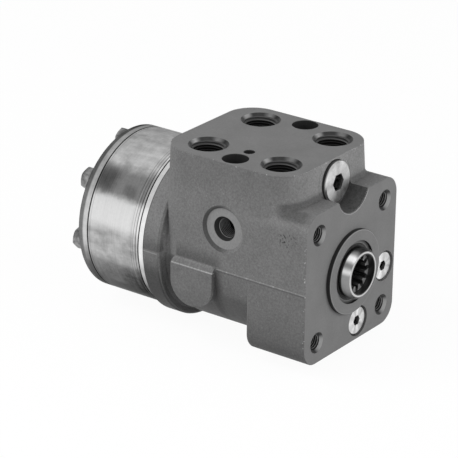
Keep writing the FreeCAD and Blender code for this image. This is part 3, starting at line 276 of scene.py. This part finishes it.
def new_material(name):
    material = bpy.data.materials.new(name)
    material.use_nodes = True
    return material, Net(material.node_tree)


# Materials. Masks go from 0 to 1, and their ranges are in millimetres or degrees.

def casting_shade(x, y, z):
    """Painted shade, painted shadows and painted light on the rough casting's grey, as a factor.
    """
    # Painted shade: darker below the parting line, towards the underside and towards the top.
    painted_height_shade = z.fall(-0.6, 0.3) * 0.10 + z.fall(-52.0, -12.0) * 0.36 + z.rise(38.0, 66.0) * 0.14
    # Painted shadows behind the foot, under the disc, around the lug, in the crease and on the
    # flange top.
    off_side = x.near(0.0, 49.5).rise(0.0, 0.02)
    behind_foot = y.rise(FOOT_REAR + 0.2, FOOT_REAR + 0.9) * z.fall(-3.0, 0.0) * off_side * 0.36
    under_disc = y.rise(97.0, 100.0) * z.fall(-16.0, 0.0) * 0.60
    under_disc = under_disc * (1.0 - y.rise(103.5, 105.0) * y.fall(106.6, 107.4) * 0.90)
    under_disc = under_disc + y.rise(107.4, 108.0) * z.fall(-30.0, -16.0) * 0.07
    before_lug = y.rise(58.0, 66.0) * y.fall(66.6, 67.2) * z.fall(-3.0, 4.0) * 0.50
    lug_front = y.rise(66.2, 66.6) * y.fall(69.0, 74.0) * z.fall(-6.0, -3.0)
    lug_front = lug_front * abs(x).fall(49.2, 49.6) * 0.62
    above_lug = z.rise(0.6, 2.0) * z.fall(2.5, 13.0) * y.rise(60.0, 67.0)
    above_lug = above_lug * x.fall(-48.3, -48.0) * 0.40
    crease = z.rise(42.0, 46.0) * z.fall(50.5, 53.5) * y.rise(7.0, 15.0) * y.fall(20.0, 27.0)
    flange_top = z.rise(42.5, 45.5) * y.fall(13.0, 16.0)
    flange_top = flange_top * (0.18 + x.fall(-41.0, -37.0) * y.rise(1.0, 7.0) * 0.28)
    shade = strongest(painted_height_shade, behind_foot, under_disc, before_lug, lug_front, above_lug,
                      crease * 0.50, flange_top)
    # A painted pool of light on the front of the block.
    front_light = z.rise(51.0, 55.0) * y.fall(16.0, 24.0) * x.near(0.0, 60.0) * 0.42
    # The parting ridge's painted shadow, a thin dark line below it.
    dark_line = z.near(-0.95, 0.55) * abs(x).rise(48.0, 48.2) * y.fall(65.0, 66.0) * 0.35
    return (1.0 + front_light) * (1.0 - shade.least(MOST_SHADE)) * (1.0 - dark_line)


def casting_edges(net, here, x, y, z, grain):
    """Painted highlights on the lug's edges and on nicked outer edges, and the disc's lighter
    joint line.
    """
    # Painted highlights along the lug's edges.
    lug_edge = x.fall(-49.9, -49.4) * z.near(-2.6, 0.5).most(z.near(0.9, 0.5))
    lug_edge = lug_edge * y.rise(66.0, 67.0) * y.fall(98.0, 99.0) * 0.16
    lug_edge = lug_edge * (0.3 + grain * 1.9 + y.fall(68.0, 74.0) * 0.5)
    # Nicks on the outer edges of the flange and the port face, lighter as wear and as painted
    # highlight.
    flange_edge = y.fall(0.9, 1.5) * x.fall(-48.1, -47.6)
    port_edge = z.rise(68.2, 68.8) * z.fall(69.1, 69.2)
    worn_edge_glint = net.noise(here, 1.3, 1.0, 0.4).rise(0.66, 0.70) * flange_edge.most(port_edge)
    disc_line = z.near(0.0, 0.5) * abs(x).rise(52.7, 52.8) * y.rise(107.6, 107.8)
    return lug_edge + worn_edge_glint * 0.35 + disc_line * 0.11


def dark_bores(x, y, z, port, hole, side_port, notch):
    """A mask of the bores' inner walls and floors, which light hardly reaches."""
    valve = across(beside(x, SHOCK_REACH), y - PORT_MIDDLE)
    riser = across(x + RISER_REACH, y - PORT_MIDDLE)
    below_face = z.fall(68.9, 69.1)
    return strongest(
        port.fall(12.0, 12.2) * z.fall(66.6, 66.9) * z.rise(20.0, 30.0),
        hole.fall(5.5, 5.6) * y.rise(1.6, 1.9) * y.fall(20.5, 21.5),
        valve.fall(8.5, 8.6) * below_face * z.rise(40.0, 45.0),
        riser.fall(3.8, 3.9) * below_face * z.rise(30.0, 35.0),
        side_port.fall(7.9, 8.0) * x.rise(-46.4, -46.3) * x.fall(-24.0, -20.0),
        notch.fall(13.4, 13.5) * y.rise(13.2, 14.0) * y.fall(22.0, 23.0))


def cast_iron():
    """Grey phosphated casting: fine grain, soft mottle, pits, machined faces, cut holes in painted
    shade.
    """
    material, net = new_material("cast_iron")
    here, (x, y, z) = net.place()
    grain = net.noise(here, 1.3, 3.0, 0.65)
    mottle = net.noise(here, 16.0, 3.0, 0.55)
    fine = net.noise(here, 0.5, 2.0, 0.5)
    worn = net.noise(here, 3.0, 2.0, 0.5)
    speck = net.noise(here, 2.3, 1.0, 0.4).rise(0.72, 0.78)
    port_x, port_y = beside(x, PORT_REACH), beside(y - PORT_MIDDLE, PORT_REACH)
    hole_x, hole_z = beside(x, COLUMN_REACH), beside(z, COLUMN_REACH)
    port = across(port_x, port_y)
    hole = across(hole_x, hole_z)
    side_port = across(y - PORT_MIDDLE, z - SIDE_PORT_HEIGHT)
    notch = across(x - NOTCH_X, z - NOTCH_Z)
    axle = across(x, z)

    port_top = z.rise(PORT_FACE - 0.18, PORT_FACE - 0.08)
    flange_face = y.fall(0.05, 0.12)
    spotface = side_port.fall(13.0, 13.1) * x.fall(-SPOTFACE_REACH - 0.05, -SPOTFACE_REACH + 0.05)
    milled = strongest(port_top, flange_face, spotface)
    grey = CAST_GREY + (grain - 0.5) * 0.20 + (fine - 0.5) * 0.10 + (mottle - 0.5) * 0.07
    grey = grey + speck * 0.06
    # The rough casting takes its painted shade, shadows and highlights here.
    grey = grey * casting_shade(x, y, z) + casting_edges(net, here, x, y, z, grain)
    machined = MACHINED_GREY + (mottle - 0.5) * 0.06 + (grain - 0.5) * 0.05 - port_top * 0.026
    spigot_rim = axle.near(26.4, 0.45) * y.fall(-2.8, -2.6)
    base = net.mix(milled, grey, machined + spigot_rim * 0.10)
    base = net.mix(spotface, base, SPOTFACE_GREY + (grain - 0.5) * 0.14)
    # Painted shade on the wall of the side port's recess, stronger towards the rear.
    recess = side_port.rise(13.1, 13.3) * side_port.fall(15.0, 15.2)
    recess = recess * x.fall(-SPOTFACE_REACH - 0.2, -SPOTFACE_REACH + 0.2)
    base = net.mix(recess * (y.rise(54.0, 66.0) * 0.7), base, RECESS_SHADE_GREY)
    pits = across(y - 13.9, z - 32.2).fall(3.5, 8.5) * x.fall(-48.2, -47.5)
    pits = pits * net.noise(here, 1.5, 1.0, 0.5).rise(0.60, 0.66)
    base = net.mix(pits, base, PIT_GREY)

    port_chamfer = port.fall(12.52, 12.6) * z.rise(66.9, 67.1)
    port_lip = port.near(10.62, 0.35) * z.rise(66.8, 67.0)
    hole_chamfer = hole.fall(6.62, 6.7) * y.fall(1.8, 2.0)
    # Painted glints at set angles round each port's dark chamfer.
    turn = net.angle(port_y, port_x)
    glint = turn.near(84.0, 26.0) * 0.34 + turn.near(4.0, 27.0) * 0.17
    glint = glint + turn.near(45.0, 60.0) * 0.03
    base = net.mix(port_chamfer, base, 0.016 + glint * (0.5 + worn))
    # A lighter ring of painted highlight at each port's lip, where the thread begins.
    base = net.mix(port_lip, base, LIP_HIGHLIGHT_GREY)
    # Painted highlight on the part of each column hole's chamfer that faces up and to the left.
    lit_side = (hole_x * 0.88 - hole_z * 0.47) / hole
    base = net.mix(hole_chamfer, base, 0.026 + lit_side.rise(0.35, 0.95) * 0.28)

    # Painted shade on the notch's wall and end, on the spigot's side wall and in the neck's bore.
    notch_wall = notch.near(NOTCH_RADIUS, 0.3) * y.rise(0.1, 0.3) * y.fall(14.5, 15.0)
    notch_end = notch.fall(16.5, 16.6) * y.rise(13.0, 13.3) * z.fall(48.5, 49.0)
    spigot_wall = axle.near(26.8, 0.3) * y.fall(-0.3, -0.15) * y.rise(-2.95, -2.8)
    neck_bore = axle.fall(20.2, 20.4) * y.rise(-2.9, -2.7)
    # Painted shade in the bores.
    base = net.mix(dark_bores(x, y, z, port, hole, side_port, notch), base, BORE_SHADE_GREY)
    base = net.mix(notch_wall.most(notch_end), base,
                   NOTCH_SHADE_GREY + (grain - 0.5) * 0.10 + (worn - 0.5) * 0.08)
    base = net.mix(spigot_wall.most(neck_bore), base, NECK_BORE_SHADE_GREY)

    cut_metal = strongest(port_chamfer, hole_chamfer, port_lip)
    net.surface(Base_Color=base, Metallic=cut_metal * 0.6, Specular_IOR_Level=CAST_SPECULAR,
                Roughness=0.60 - cut_metal * 0.25 - spotface * 0.12 + mottle * 0.05,
                Normal=net.bump(grain * 0.7 + fine * 0.3, 0.22, 0.60 - milled * 0.45))
    return material


def thread_steel():
    """Cut threads: nearly black in painted shade, with painted highlights on crests and the first
    turn.
    """
    material, net = new_material("thread_steel")
    here, (x, y, z) = net.place()
    worn = net.noise(here, 1.6, 2.0, 0.5)
    crest = net.node("Attribute", {"attribute_name": "crest"}, out="Fac")
    flange = y.fall(20.0, 22.0)
    side_port = x.fall(-22.0, -20.0) * z.fall(40.0, 45.0)
    # Painted highlights: the ports' first turn, and crests, most in the column holes and side
    # port.
    first = z.rise(65.3, 65.7) * 0.05 + z.near(65.3, 0.5) * 0.16
    lit = crest ** 4.0 * (0.025 + flange.most(side_port) * 0.22) * (0.5 + worn)
    net.surface(Base_Color=0.008 + lit + first, Metallic=0.7, Roughness=0.40)
    return material


def ridge_iron():
    """The casting's joint ridge, rubbed lighter in places."""
    material, net = new_material("ridge_iron")
    here, _ = net.place()
    worn = net.noise(here, 2.0, 3.0, 0.6)
    net.surface(Base_Color=0.22 + worn.rise(0.45, 0.8) * 0.24, Roughness=0.55)
    return material


def burr_steel():
    """The bare edge that the cutter left."""
    material, net = new_material("burr_steel")
    here, _ = net.place()
    worn = net.noise(here, 2.5, 3.0, 0.6)
    net.surface(Base_Color=0.42 + worn * 0.40, Metallic=0.6, Roughness=0.35)
    return material


def gear_ring_steel():
    """Ground, hardened ring with fine turned lines; painted reflection: bright flank, dull band,
    mottled top.

    The angle runs from the -X side, 0, up to the top, 90, and is the same on the +X side.
    """
    material, net = new_material("gear_ring_steel")
    here, (x, y, z) = net.place()
    front, rear = (corner.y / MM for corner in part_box("gear_ring"))
    angle = net.angle(z, abs(x))
    grain = net.noise(here, 1.8, 4.0, 0.7)
    blotch = net.noise(here, 8.0, 5.0, 0.62)
    streak = net.noise(net.stretched(here, 1.0, 0.35, 1.0), 5.0, 4.0, 0.6)
    lines = net.noise(net.stretched(here, 0.02, 1.0, 0.02), 0.8, 2.0, 0.6)
    wander = angle + (blotch - 0.5) * 8.0

    # Painted reflection by angle: a dull band, a duller top and crown, darker low down and at the
    # foot.
    dull = wander.rise(26.5, 33.0) * wander.fall(46.0, 57.0)
    top = wander.rise(46.0, 56.0)
    crown = angle.rise(64.0, 80.0)
    low = angle.fall(3.0, 13.0)
    foot = angle.fall(-24.0, -11.0)
    base = 0.74 + (lines - 0.5) * 0.12 - dull * 0.47 - top * 0.13 - crown * 0.05
    base = base - low * 0.30 - foot * 0.20 - foot * y.fall(126.0, 152.0) * 0.11
    # Darker patches in the dull band, spread by noise.
    rear_patch = angle.near(41.0, 19.0) * y.near(156.0, 17.0)
    front_patch = angle.near(35.5, 12.0) * y.near(136.0, 13.0) * 0.62
    dark_patch = rear_patch.most(front_patch)
    spread = (dark_patch + (blotch - 0.5) * 0.7 + (grain - 0.5) * 0.9).rise(0.15, 1.05)
    base = base - spread * dark_patch.rise(0.0, 0.5) * 0.17
    patchy = top.most(low) * (1.0 - foot * 0.65)
    base = base + patchy * ((streak - 0.5) * 0.42 + (blotch - 0.5) * 0.50) + (grain - 0.5) * 0.14

    from_front, from_rear = y - front, rear - y
    # Turned grooves near the front and the rear, drawn as dark lines with a bump.
    dark_line = strongest(from_front.near(2.3, 0.55), from_front.near(4.3, 0.35) * 0.7,
                       from_front.near(6.1, 0.3) * 0.5, from_rear.near(1.9, 0.3) * 0.5)
    land = from_front.near(1.3, 0.8) * angle.rise(-16.0, 0.0)
    seam = from_front.fall(0.35, 0.75).most(from_rear.fall(0.4, 0.8))
    band = from_front.fall(6.0, 8.0) * (lines - 0.5) * 0.40
    base = (base + band + land * 0.18).most(0.05) * (1.0 - dark_line * 0.75) * (1.0 - seam * 0.95)
    net.surface(Base_Color=base, Metallic=1.0, Specular_Tint=colour(RING_TINT),
                Roughness=0.28 + top * 0.12 + dull * 0.10 + grain * 0.06,
                Normal=net.bump(lines + (1.0 - dark_line) * 1.5, 0.03, 0.4))
    return material


def flat_rings(name, base, node, bright, band, rough):
    """A turned plate: rings on its faces, and a painted reflection band on its rim beside the
    front seam.

    The rim's band has a width, and what is behind it is duller.
    """
    material, net = new_material(name)
    here, (x, y, z) = net.place()
    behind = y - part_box(node)[0].y / MM
    radius = across(x, z)
    rim = radius.rise(51.0, 51.3)
    angle = net.angle(z, abs(x))
    worn = net.noise(here, 5.0, 4.0, 0.6)
    lines = net.noise(net.stretched(here, 0.02, 1.0, 0.02), 0.7, 2.0, 0.6)
    ring = net.rings(radius / TURNED_LINE)
    seam = behind.fall(0.25, 0.55)
    face = base + (ring - 0.5) * 0.10 + (worn - 0.5) * 0.12
    # The rim's painted reflection is darker towards the top and towards the bottom.
    upper = angle.rise(26.0, 34.0)
    edge = bright + (lines - 0.5) * 0.26 + (worn - 0.5) * 0.36 - upper * 0.10
    edge = edge - angle.fall(-18.0, -4.0) * 0.34 - angle.fall(-36.0, -20.0) * 0.30
    dull = 0.20 + (worn - 0.5) * 0.20 - upper * 0.06
    edge = net.mix(behind.rise(band, band + 1.2), edge.most(0.16), dull)
    shade = net.mix(rim, face, net.mix(seam * 0.95, edge, 0.02))
    net.surface(Base_Color=shade, Metallic=1.0, Roughness=rough + worn * 0.10,
                Specular_Tint=colour(RING_TINT), Normal=net.bump(ring + lines, 0.02, 0.4))
    return material


def turned_steel(name, base, rough):
    """Steel turned about the steering axis: fine rings that run round it."""
    material, net = new_material(name)
    here, (x, y, z) = net.place()
    ring = net.rings((across(x, z) + y * 1.7) / TURNED_LINE)
    worn = net.noise(here, 6.0, 3.0, 0.55)
    net.surface(Base_Color=base - 0.12 + ring * 0.14 + worn * 0.10, Metallic=1.0,
                Roughness=rough + worn * 0.10, Normal=net.bump(ring, 0.02, 0.4))
    return material


def spool_steel():
    """The control spool: painted highlights round the neck, painted shade by the seal and in the
    socket.

    The bump's height gives the neck's front the look of one long cone: it rises with y behind
    the chamfer, and falls on the chamfer. In the socket the spaces of the spline, every 30
    degrees, are painted dark as shade, and each is narrower further out, so that the teeth
    between them are wide at their roots.
    """
    material, net = new_material("spool_steel")
    here, (x, y, z) = net.place()
    radius = across(x, z)
    angle = net.angle(z, x * -1.0)
    ring = net.rings((radius + y * 1.7) / TURNED_LINE)
    worn = net.noise(here, 3.0, 3.0, 0.55)

    neck = y.fall(-1.6, -1.0)
    # Painted highlights round the neck by angle; painted shade behind it, by the seal.
    glint = angle.near(54.0, 16.0) * 0.85 + angle.near(23.0, 12.0) * 0.50
    glint = glint - angle.rise(66.0, 84.0) * 0.24 - angle.fall(-60.0, -20.0) * 0.16
    side = (0.31 + glint + (worn - 0.5) * 0.16) * y.fall(-3.9, -3.1)
    base = net.mix(neck, 0.45 + ring * 0.14 + worn * 0.10, side.most(0.045))
    rim = y.fall(-8.60, -8.45) * radius.rise(13.0, 13.3)
    base = net.mix(rim, base, 0.62)

    # Painted shade in the socket, with the spline's teeth and crests lighter.
    inner = radius.fall(13.0, 13.3) * y.fall(11.0, 12.0)
    from_space = abs(net.math("FRACT", angle / SPLINE_SPACING + 0.5) - 0.5) * SPLINE_SPACING
    half_space = 10.8 - (radius - 9.2) * 2.0
    tooth = (from_space - half_space).rise(-0.6, 0.8) * radius.fall(12.15, 12.35)
    tooth = tooth * y.rise(-6.0, -5.0) * y.fall(-4.42, -4.3)
    crest = radius.fall(9.1, 9.4) * y.fall(-4.0, 0.5)
    base = net.mix(inner, base, 0.036 + tooth * (0.30 + (worn - 0.5) * 0.10) + crest * 0.10)

    behind = y - NECK_CHAMFER_END
    height = behind.most(0.0) * CONE_SLOPE + behind.least(0.0) * CHAMFER_SLOPE
    height = height * neck * radius.rise(14.1, 14.3) * y.fall(-2.0, -1.0)
    net.surface(Base_Color=base, Metallic=1.0 - inner * 0.5, Roughness=0.26 + worn * 0.10,
                Normal=net.bump(ring, 0.02, 0.4, net.bump(height, 1.0, 1.0)))
    return material


def plug_steel():
    """Bright plated plugs, faced in rings about each plug's centre, with painted shade in keys and
    sides.
    """
    material, net = new_material("plug_steel")
    here, (x, y, z) = net.place()
    radius, key, fan = None, None, None
    for node, reach, depth in PLUG_KEYS:
        for cx, cz in plug_centres(node):
            distance = across(x - cx, z - cz)
            # Painted shade in each plug's key.
            socket = distance.fall(reach, reach + 0.1) * y.rise(depth, depth + 0.8)
            turn = abs(net.math("ARCTAN2", z - cz, x - cx))
            # Painted glints in sectors round each face.
            glint = (net.rings(turn * 0.24 + cx, 1.0) - 0.5) * distance.fall(14.0, 14.5)
            radius = distance if radius is None else radius.least(distance)
            key = socket if key is None else key.most(socket)
            fan = glint if fan is None else fan + glint
    # Painted shade on the relief plug's side.
    side = y.rise(12.7, 13.1) * radius.rise(12.5, 12.7)
    ring = net.rings(radius * 2.2)
    worn = net.noise(here, 2.6, 3.0, 0.6)
    base = 0.58 + ring * 0.22 + (worn - 0.5) * 0.42 + fan * 0.9
    base = base * (1.0 - key * (0.96 - worn.rise(0.35, 0.70) * 0.55)) * (1.0 - side * 0.96)
    net.surface(Base_Color=base.most(0.012), Metallic=1.0 - side * 0.9,
                Roughness=0.30 + worn * 0.14, Normal=net.bump(ring, 0.03, 0.6))
    return material


def plug_centres(node):
    """Centres of a node's one or two plugs in millimetres, from its clumps of vertices."""
    points = np.array([v.co for v in frame["nodes"][node].data.vertices])[:, (0, 2)] / MM
    first = points[points[:, 0].argmax()]
    close = np.linalg.norm(points - first, axis=1) < PLUGS_APART
    clumps = [points[close], points[~close]] if (~close).any() else [points]
    return [tuple(float(v) for v in (clump.min(0) + clump.max(0)) / 2) for clump in clumps]


def zinc():
    """Zinc plated screws and washers."""
    material, net = new_material("zinc")
    here, _ = net.place()
    worn = net.noise(here, 4.5, 3.0, 0.55)
    net.surface(Base_Color=0.13 + worn.rise(0.30, 0.75) * 0.26, Metallic=1.0,
                Roughness=0.34 + worn * 0.15, Normal=net.bump(worn, 0.04, 0.3))
    return material


def rubber():
    """Black rubber, with lighter painted highlight lines on the seal's lips and painted shade at
    its rim.
    """
    material, net = new_material("rubber")
    here, (x, y, z) = net.place()
    grain = net.noise(here, 0.6, 2.0, 0.5)
    radius = across(x, z)
    lip = radius.near(18.2, 0.35) * 0.11 + radius.near(16.9, 0.5) * 0.03
    base = 0.062 + grain * 0.012 + lip - radius.near(19.7, 0.5) * 0.03
    net.surface(Base_Color=base.most(0.006), Roughness=0.50)
    return material


def brass():
    material, net = new_material("brass")
    here, _ = net.place()
    worn = net.noise(here, 3.0, 3.0, 0.55)
    base = net.mix(worn, (0.52, 0.36, 0.13, 1.0), (0.66, 0.50, 0.22, 1.0))
    net.surface(Base_Color=base, Metallic=1.0, Roughness=0.34 + worn * 0.1)
    return material


# Surfaces

def add_piece(name, points, faces, material, body="housing_body"):
    """A smooth mesh from arrays of points and faces, riding on a body."""
    mesh = bpy.data.meshes.new(name)
    mesh.from_pydata(points.reshape(-1, 3).tolist(), [], faces.tolist())
    mesh.polygons.foreach_set("use_smooth", np.full(len(mesh.polygons), True))
    mesh.update()
    piece = bpy.data.objects.new(name, mesh)
    bpy.context.collection.objects.link(piece)
    mesh.materials.append(material)
    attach(piece, body)
    return piece


def grid_faces(rows, columns):
    """Quads of a grid of points, rows by columns."""
    row, column = np.meshgrid(np.arange(rows - 1), np.arange(columns - 1), indexing="ij")
    corner = row * columns + column
    return np.stack([corner, corner + 1, corner + columns + 1, corner + columns],
                    -1).reshape(-1, 4)


def internal_thread(centre, axis, radius, length, pitch, depth):
    """The wall of a tapped hole, as points, faces and each point's height on the thread.

    With f the fraction of a pitch that a point is along the helix, the saw s = 1 - |2f - 1| gives
    the profile q = 1.35 s - 0.12, held between 0 and 1, and the radius r = R - d q e, where e
    fades the thread out over the last 0.6 pitches at both ends. Rows follow the helix: at angle a
    a row's height is p (n + a / 2 pi), so that each row runs along a root or a crest, and its end
    meets its start one pitch further on.
    """
    steepness, root_width, run_out, wall_gap = 1.35, 0.12, 0.6, 0.02
    turns = int(math.ceil(length / pitch)) + 2
    rows = turns * THREAD_ROWS_PER_PITCH + 1
    row = np.arange(rows)[:, None]
    column = np.arange(THREAD_STEPS_PER_TURN + 1)[None, :]
    along = row / THREAD_ROWS_PER_PITCH
    height = pitch * (along - 1.0 + column / THREAD_STEPS_PER_TURN) - length / 2
    saw = 1.0 - np.abs(2.0 * (along % 1.0) - 1.0)
    profile = np.clip(saw * steepness - root_width, 0.0, 1.0)
    edge = np.clip((length / 2 - np.abs(height)) / (run_out * pitch), 0.0, 1.0)
    bore = radius - wall_gap - depth * profile * edge
    height = np.clip(height, -length / 2, length / 2)
    angle = 2.0 * math.pi * column / THREAD_STEPS_PER_TURN + 0.0 * row
    turn = Vector(axis).to_track_quat("Z", "Y").to_matrix()
    local = np.stack([bore * np.cos(angle), bore * np.sin(angle), height], -1)
    points = local @ np.array(turn).T * MM + np.array(centre)
    faces = grid_faces(rows, THREAD_STEPS_PER_TURN + 1)[:, ::-1]
    return points, faces, (profile + 0.0 * column).ravel()


def tapped_holes(materials):
    """Cut threads in the ports, the side port and the four column holes."""
    made = []
    for name, mount in MOUNTS.items():
        if mount["kind"] != "threaded_hole":
            continue
        pitch, depth = PORT_PITCH, PORT_THREAD_DEPTH
        if name == "sense_port":
            pitch, depth = SENSE_PITCH, SENSE_THREAD_DEPTH
        made.append((name, mount["pos_m"], mount["axis"], mount["dims"]["r_mm"],
                     mount["dims"]["length_mm"], pitch, depth))
    pattern = MOUNTS["column_bolts"]
    dims = pattern["dims"]
    half_x, half_z = dims["spacing_x_mm"] / 2 * MM, dims["spacing_y_mm"] / 2 * MM
    middle = (COLUMN_THREAD_START + COLUMN_THREAD_END) / 2 * MM
    length = COLUMN_THREAD_END - COLUMN_THREAD_START
    for side, x in (("left", -half_x), ("right", half_x)):
        for level, z in (("lower", -half_z), ("upper", half_z)):
            made.append(("column_%s_%s" % (level, side), (x, middle, z), pattern["axis"],
                         dims["hole_r_mm"], length, COLUMN_PITCH, COLUMN_THREAD_DEPTH))
    for name, *form in made:
        points, faces, crest = internal_thread(*form)
        wall = add_piece("thread_" + name, points, faces, materials["thread"])
        wall.data.attributes.new("crest", "FLOAT", "POINT").data.foreach_set("value", crest)


def notch_edge(materials):
    """The bright edge round the relief plug's notch.

    A strip turned about the notch's axis. For t from 0 to 1 its radius is R - o + t (w + o) and
    its y is h (1 - t)^2 - e, with w the width, h the depth, e how far it stands proud and o the
    overlap. The angles are those at which the notch is open in the flange.
    """
    half = math.acos((NOTCH_Z - FLANGE_TOP) / NOTCH_RADIUS) - BURR_END_ANGLE
    angle = np.linspace(-math.pi / 2 - half, -math.pi / 2 + half, BURR_STATIONS)[:, None]
    step = np.array(BURR_STEPS)[None, :]
    bore = NOTCH_RADIUS - BURR_OVERLAP + step * (BURR_WIDTH + BURR_OVERLAP)
    lift = BURR_DEPTH * (1.0 - step) ** 2 - BURR_PROUD + 0.0 * angle
    points = np.stack([NOTCH_X + bore * np.cos(angle), lift, NOTCH_Z + bore * np.sin(angle)],
                      -1) * MM
    faces = grid_faces(len(angle), step.size)[:, ::-1]
    add_piece("notch_edge", points, faces, materials["burr"])


def bead(name, path, normals, material):
    """A low rounded ridge along a path: height H v cos^2(pi u / 2) for u from -1 to 1 across it.

    The waver v(i) = 0.8 + 0.35 sin(0.7 i) sin(0.23 i + 1) changes along the path's points i.
    """
    width = np.linspace(-1.0, 1.0, 7)
    along = np.arange(len(path))
    waver = 0.8 + 0.35 * np.sin(along * 0.7) * np.sin(along * 0.23 + 1.0)
    tangent = np.gradient(path, axis=0)
    tangent /= np.linalg.norm(tangent, axis=1, keepdims=True)
    side = np.cross(normals, tangent)
    lift = PARTING_HEIGHT * np.cos(width * math.pi / 2) ** 2
    lift = lift[None, :, None] * waver[:, None, None] - PARTING_SUNK
    points = path[:, None] + normals[:, None] * lift
    points = points + side[:, None] * (width * PARTING_WIDTH / 2)[None, :, None]
    add_piece(name, points, grid_faces(len(path), len(width)), material)


def parting_line(materials):
    """The mould's joint on both sides of the block, laid where rays meet the casting."""
    housing = frame["nodes"]["housing"].data
    tree = BVHTree.FromPolygons([v.co for v in housing.vertices],
                                [tuple(p.vertices) for p in housing.polygons])
    outside = 0.2
    stations = np.linspace(PARTING_START, PARTING_END, PARTING_STATIONS)
    for label, side in (("left", -1.0), ("right", 1.0)):
        path = np.array([tree.ray_cast(Vector((side * outside, y, 0.0)),
                                       Vector((-side, 0.0, 0.0)))[0] for y in stations])
        normals = np.tile([side, 0.0, 0.0], (len(path), 1))
        bead("parting_line_" + label, path, normals, materials["ridge"])


# Scene

FINISHES = {
    "housing": "cast", "gear_ring": "gear_ring", "distributor_plate": "plate",
    "end_cover": "cover", "front_plugs": "plug", "relief_plug": "plug", "cover_bolts": "zinc",
    "cover_washers": "zinc", "shock_plugs": "zinc", "control_spool": "spool",
    "bearing_cage": "brass", "dust_seal": "rubber", "shaft_seal": "rubber",
    "o_ring_housing": "rubber", "o_ring_plate": "rubber", "o_ring_cover": "rubber"}


def dress(materials):
    """Gives every carried-over piece its finish, and plain turned steel to those inside."""
    for node, piece in frame["nodes"].items():
        for slot in piece.material_slots:
            slot.material = materials[FINISHES.get(node, "inner")]


def make_materials():
    return {"cast": cast_iron(), "thread": thread_steel(), "ridge": ridge_iron(),
            "burr": burr_steel(), "gear_ring": gear_ring_steel(),
            "plate": flat_rings("plate_steel", 0.60, "distributor_plate", 0.88, 20.0, 0.26),
            "cover": flat_rings("cover_steel", 0.30, "end_cover", 0.60, 3.2, 0.32),
            "spool": spool_steel(), "inner": turned_steel("inner_steel", 0.5, 0.3),
            "plug": plug_steel(), "zinc": zinc(), "rubber": rubber(), "brass": brass()}


def camera():
    """The photograph's camera: a long lens, turned a little about its own axis."""
    azimuth, elevation = math.radians(CAMERA_AZIMUTH), math.radians(CAMERA_ELEVATION)
    back = Vector((math.sin(azimuth) * math.cos(elevation),
                   -math.cos(azimuth) * math.cos(elevation), math.sin(elevation)))
    right = Vector((0, 0, 1)).cross(back).normalized()
    up = back.cross(right)
    roll = math.radians(CAMERA_ROLL)
    right, up = (right * math.cos(roll) + up * math.sin(roll),
                 up * math.cos(roll) - right * math.sin(roll))
    data = bpy.data.cameras.new("camera")
    data.lens, data.sensor_width = CAMERA_LENS, CAMERA_SENSOR
    data.clip_start, data.clip_end = CAMERA_NEAR, CAMERA_FAR
    eye = bpy.data.objects.new("camera", data)
    turn = Matrix((right, up, back)).transposed().to_4x4()
    eye.matrix_world = Matrix.Translation(CAMERA_AIM + back * CAMERA_DISTANCE) @ turn
    bpy.context.collection.objects.link(eye)
    bpy.context.scene.camera = eye


def seen_directly(net):
    """1 for rays that see the white background, and 1 for the reflected ones among them.

    Those rays come from the camera, a reflection or a transmission.
    """
    path = net.node("LightPath")
    flags = [Value(net, path.socket.node.outputs[name])
             for name in ("Is Camera Ray", "Is Glossy Ray", "Is Transmission Ray")]
    return strongest(*flags), flags[1]


def studio():
    """A plain pale floor, an even pale world with a dimmer reflected band, and two broad lamps."""
    low = cad_bounds[0].z
    corners = [(-FLOOR_REACH, -FLOOR_REACH, low), (FLOOR_REACH, -FLOOR_REACH, low),
               (FLOOR_REACH, FLOOR_REACH, low), (-FLOOR_REACH, FLOOR_REACH, low)]
    mesh = bpy.data.meshes.new("floor")
    mesh.from_pydata(corners, [], [(0, 1, 2, 3)])
    floor = bpy.data.objects.new("floor", mesh)
    bpy.context.collection.objects.link(floor)
    material, net = new_material("floor")
    seen, _ = seen_directly(net)
    grey = FLOOR_GREY + seen * (FLOOR_WHITE - FLOOR_GREY)
    pale = net.node("BsdfDiffuse", {}, {"Color": grey})
    white = net.node("Emission", {}, {"Color": colour(1.0), "Strength": 1.0})
    shader = net.node("MixShader", {}, {0: seen * FLOOR_GLOW, 1: pale, 2: white})
    net.node("OutputMaterial", {}, {"Surface": shader})
    mesh.materials.append(material)

    world = bpy.data.worlds.new("studio")
    world.use_nodes = True
    bpy.context.scene.world = world
    net = Net(world.node_tree)
    seen, glossy = seen_directly(net)
    up = net.node("SeparateXYZ", {}, {0: net.node("TexCoord", out="Generated")}, out="Z")
    gap = up.rise(0.34, 0.48) * up.fall(0.80, 0.98)
    level = WORLD_LEVEL + seen * (WHITE_LEVEL - WORLD_LEVEL) - glossy * gap * GAP_DIMMING
    light = net.node("Background", {}, {"Color": colour(1.0), "Strength": level})
    net.node("OutputWorld", {}, {"Surface": light})

    for lamp in LAMPS:
        softbox(*lamp)


def softbox(name, direction, distance, size, power):
    """A square lamp that faces the object from a direction, unseen in reflections."""
    data = bpy.data.lights.new(name, "AREA")
    data.shape, data.size, data.energy = "SQUARE", size, power
    lamp = bpy.data.objects.new(name, data)
    direction = Vector(direction).normalized()
    lamp.location = CAMERA_AIM + direction * distance
    lamp.rotation_mode = "QUATERNION"
    lamp.rotation_quaternion = direction.to_track_quat("Z", "Y")
    lamp.visible_glossy = False
    bpy.context.collection.objects.link(lamp)


materials = make_materials()
dress(materials)
tapped_holes(materials)
parting_line(materials)
notch_edge(materials)
camera()
studio()
bpy.context.scene.view_settings.view_transform = "Standard"
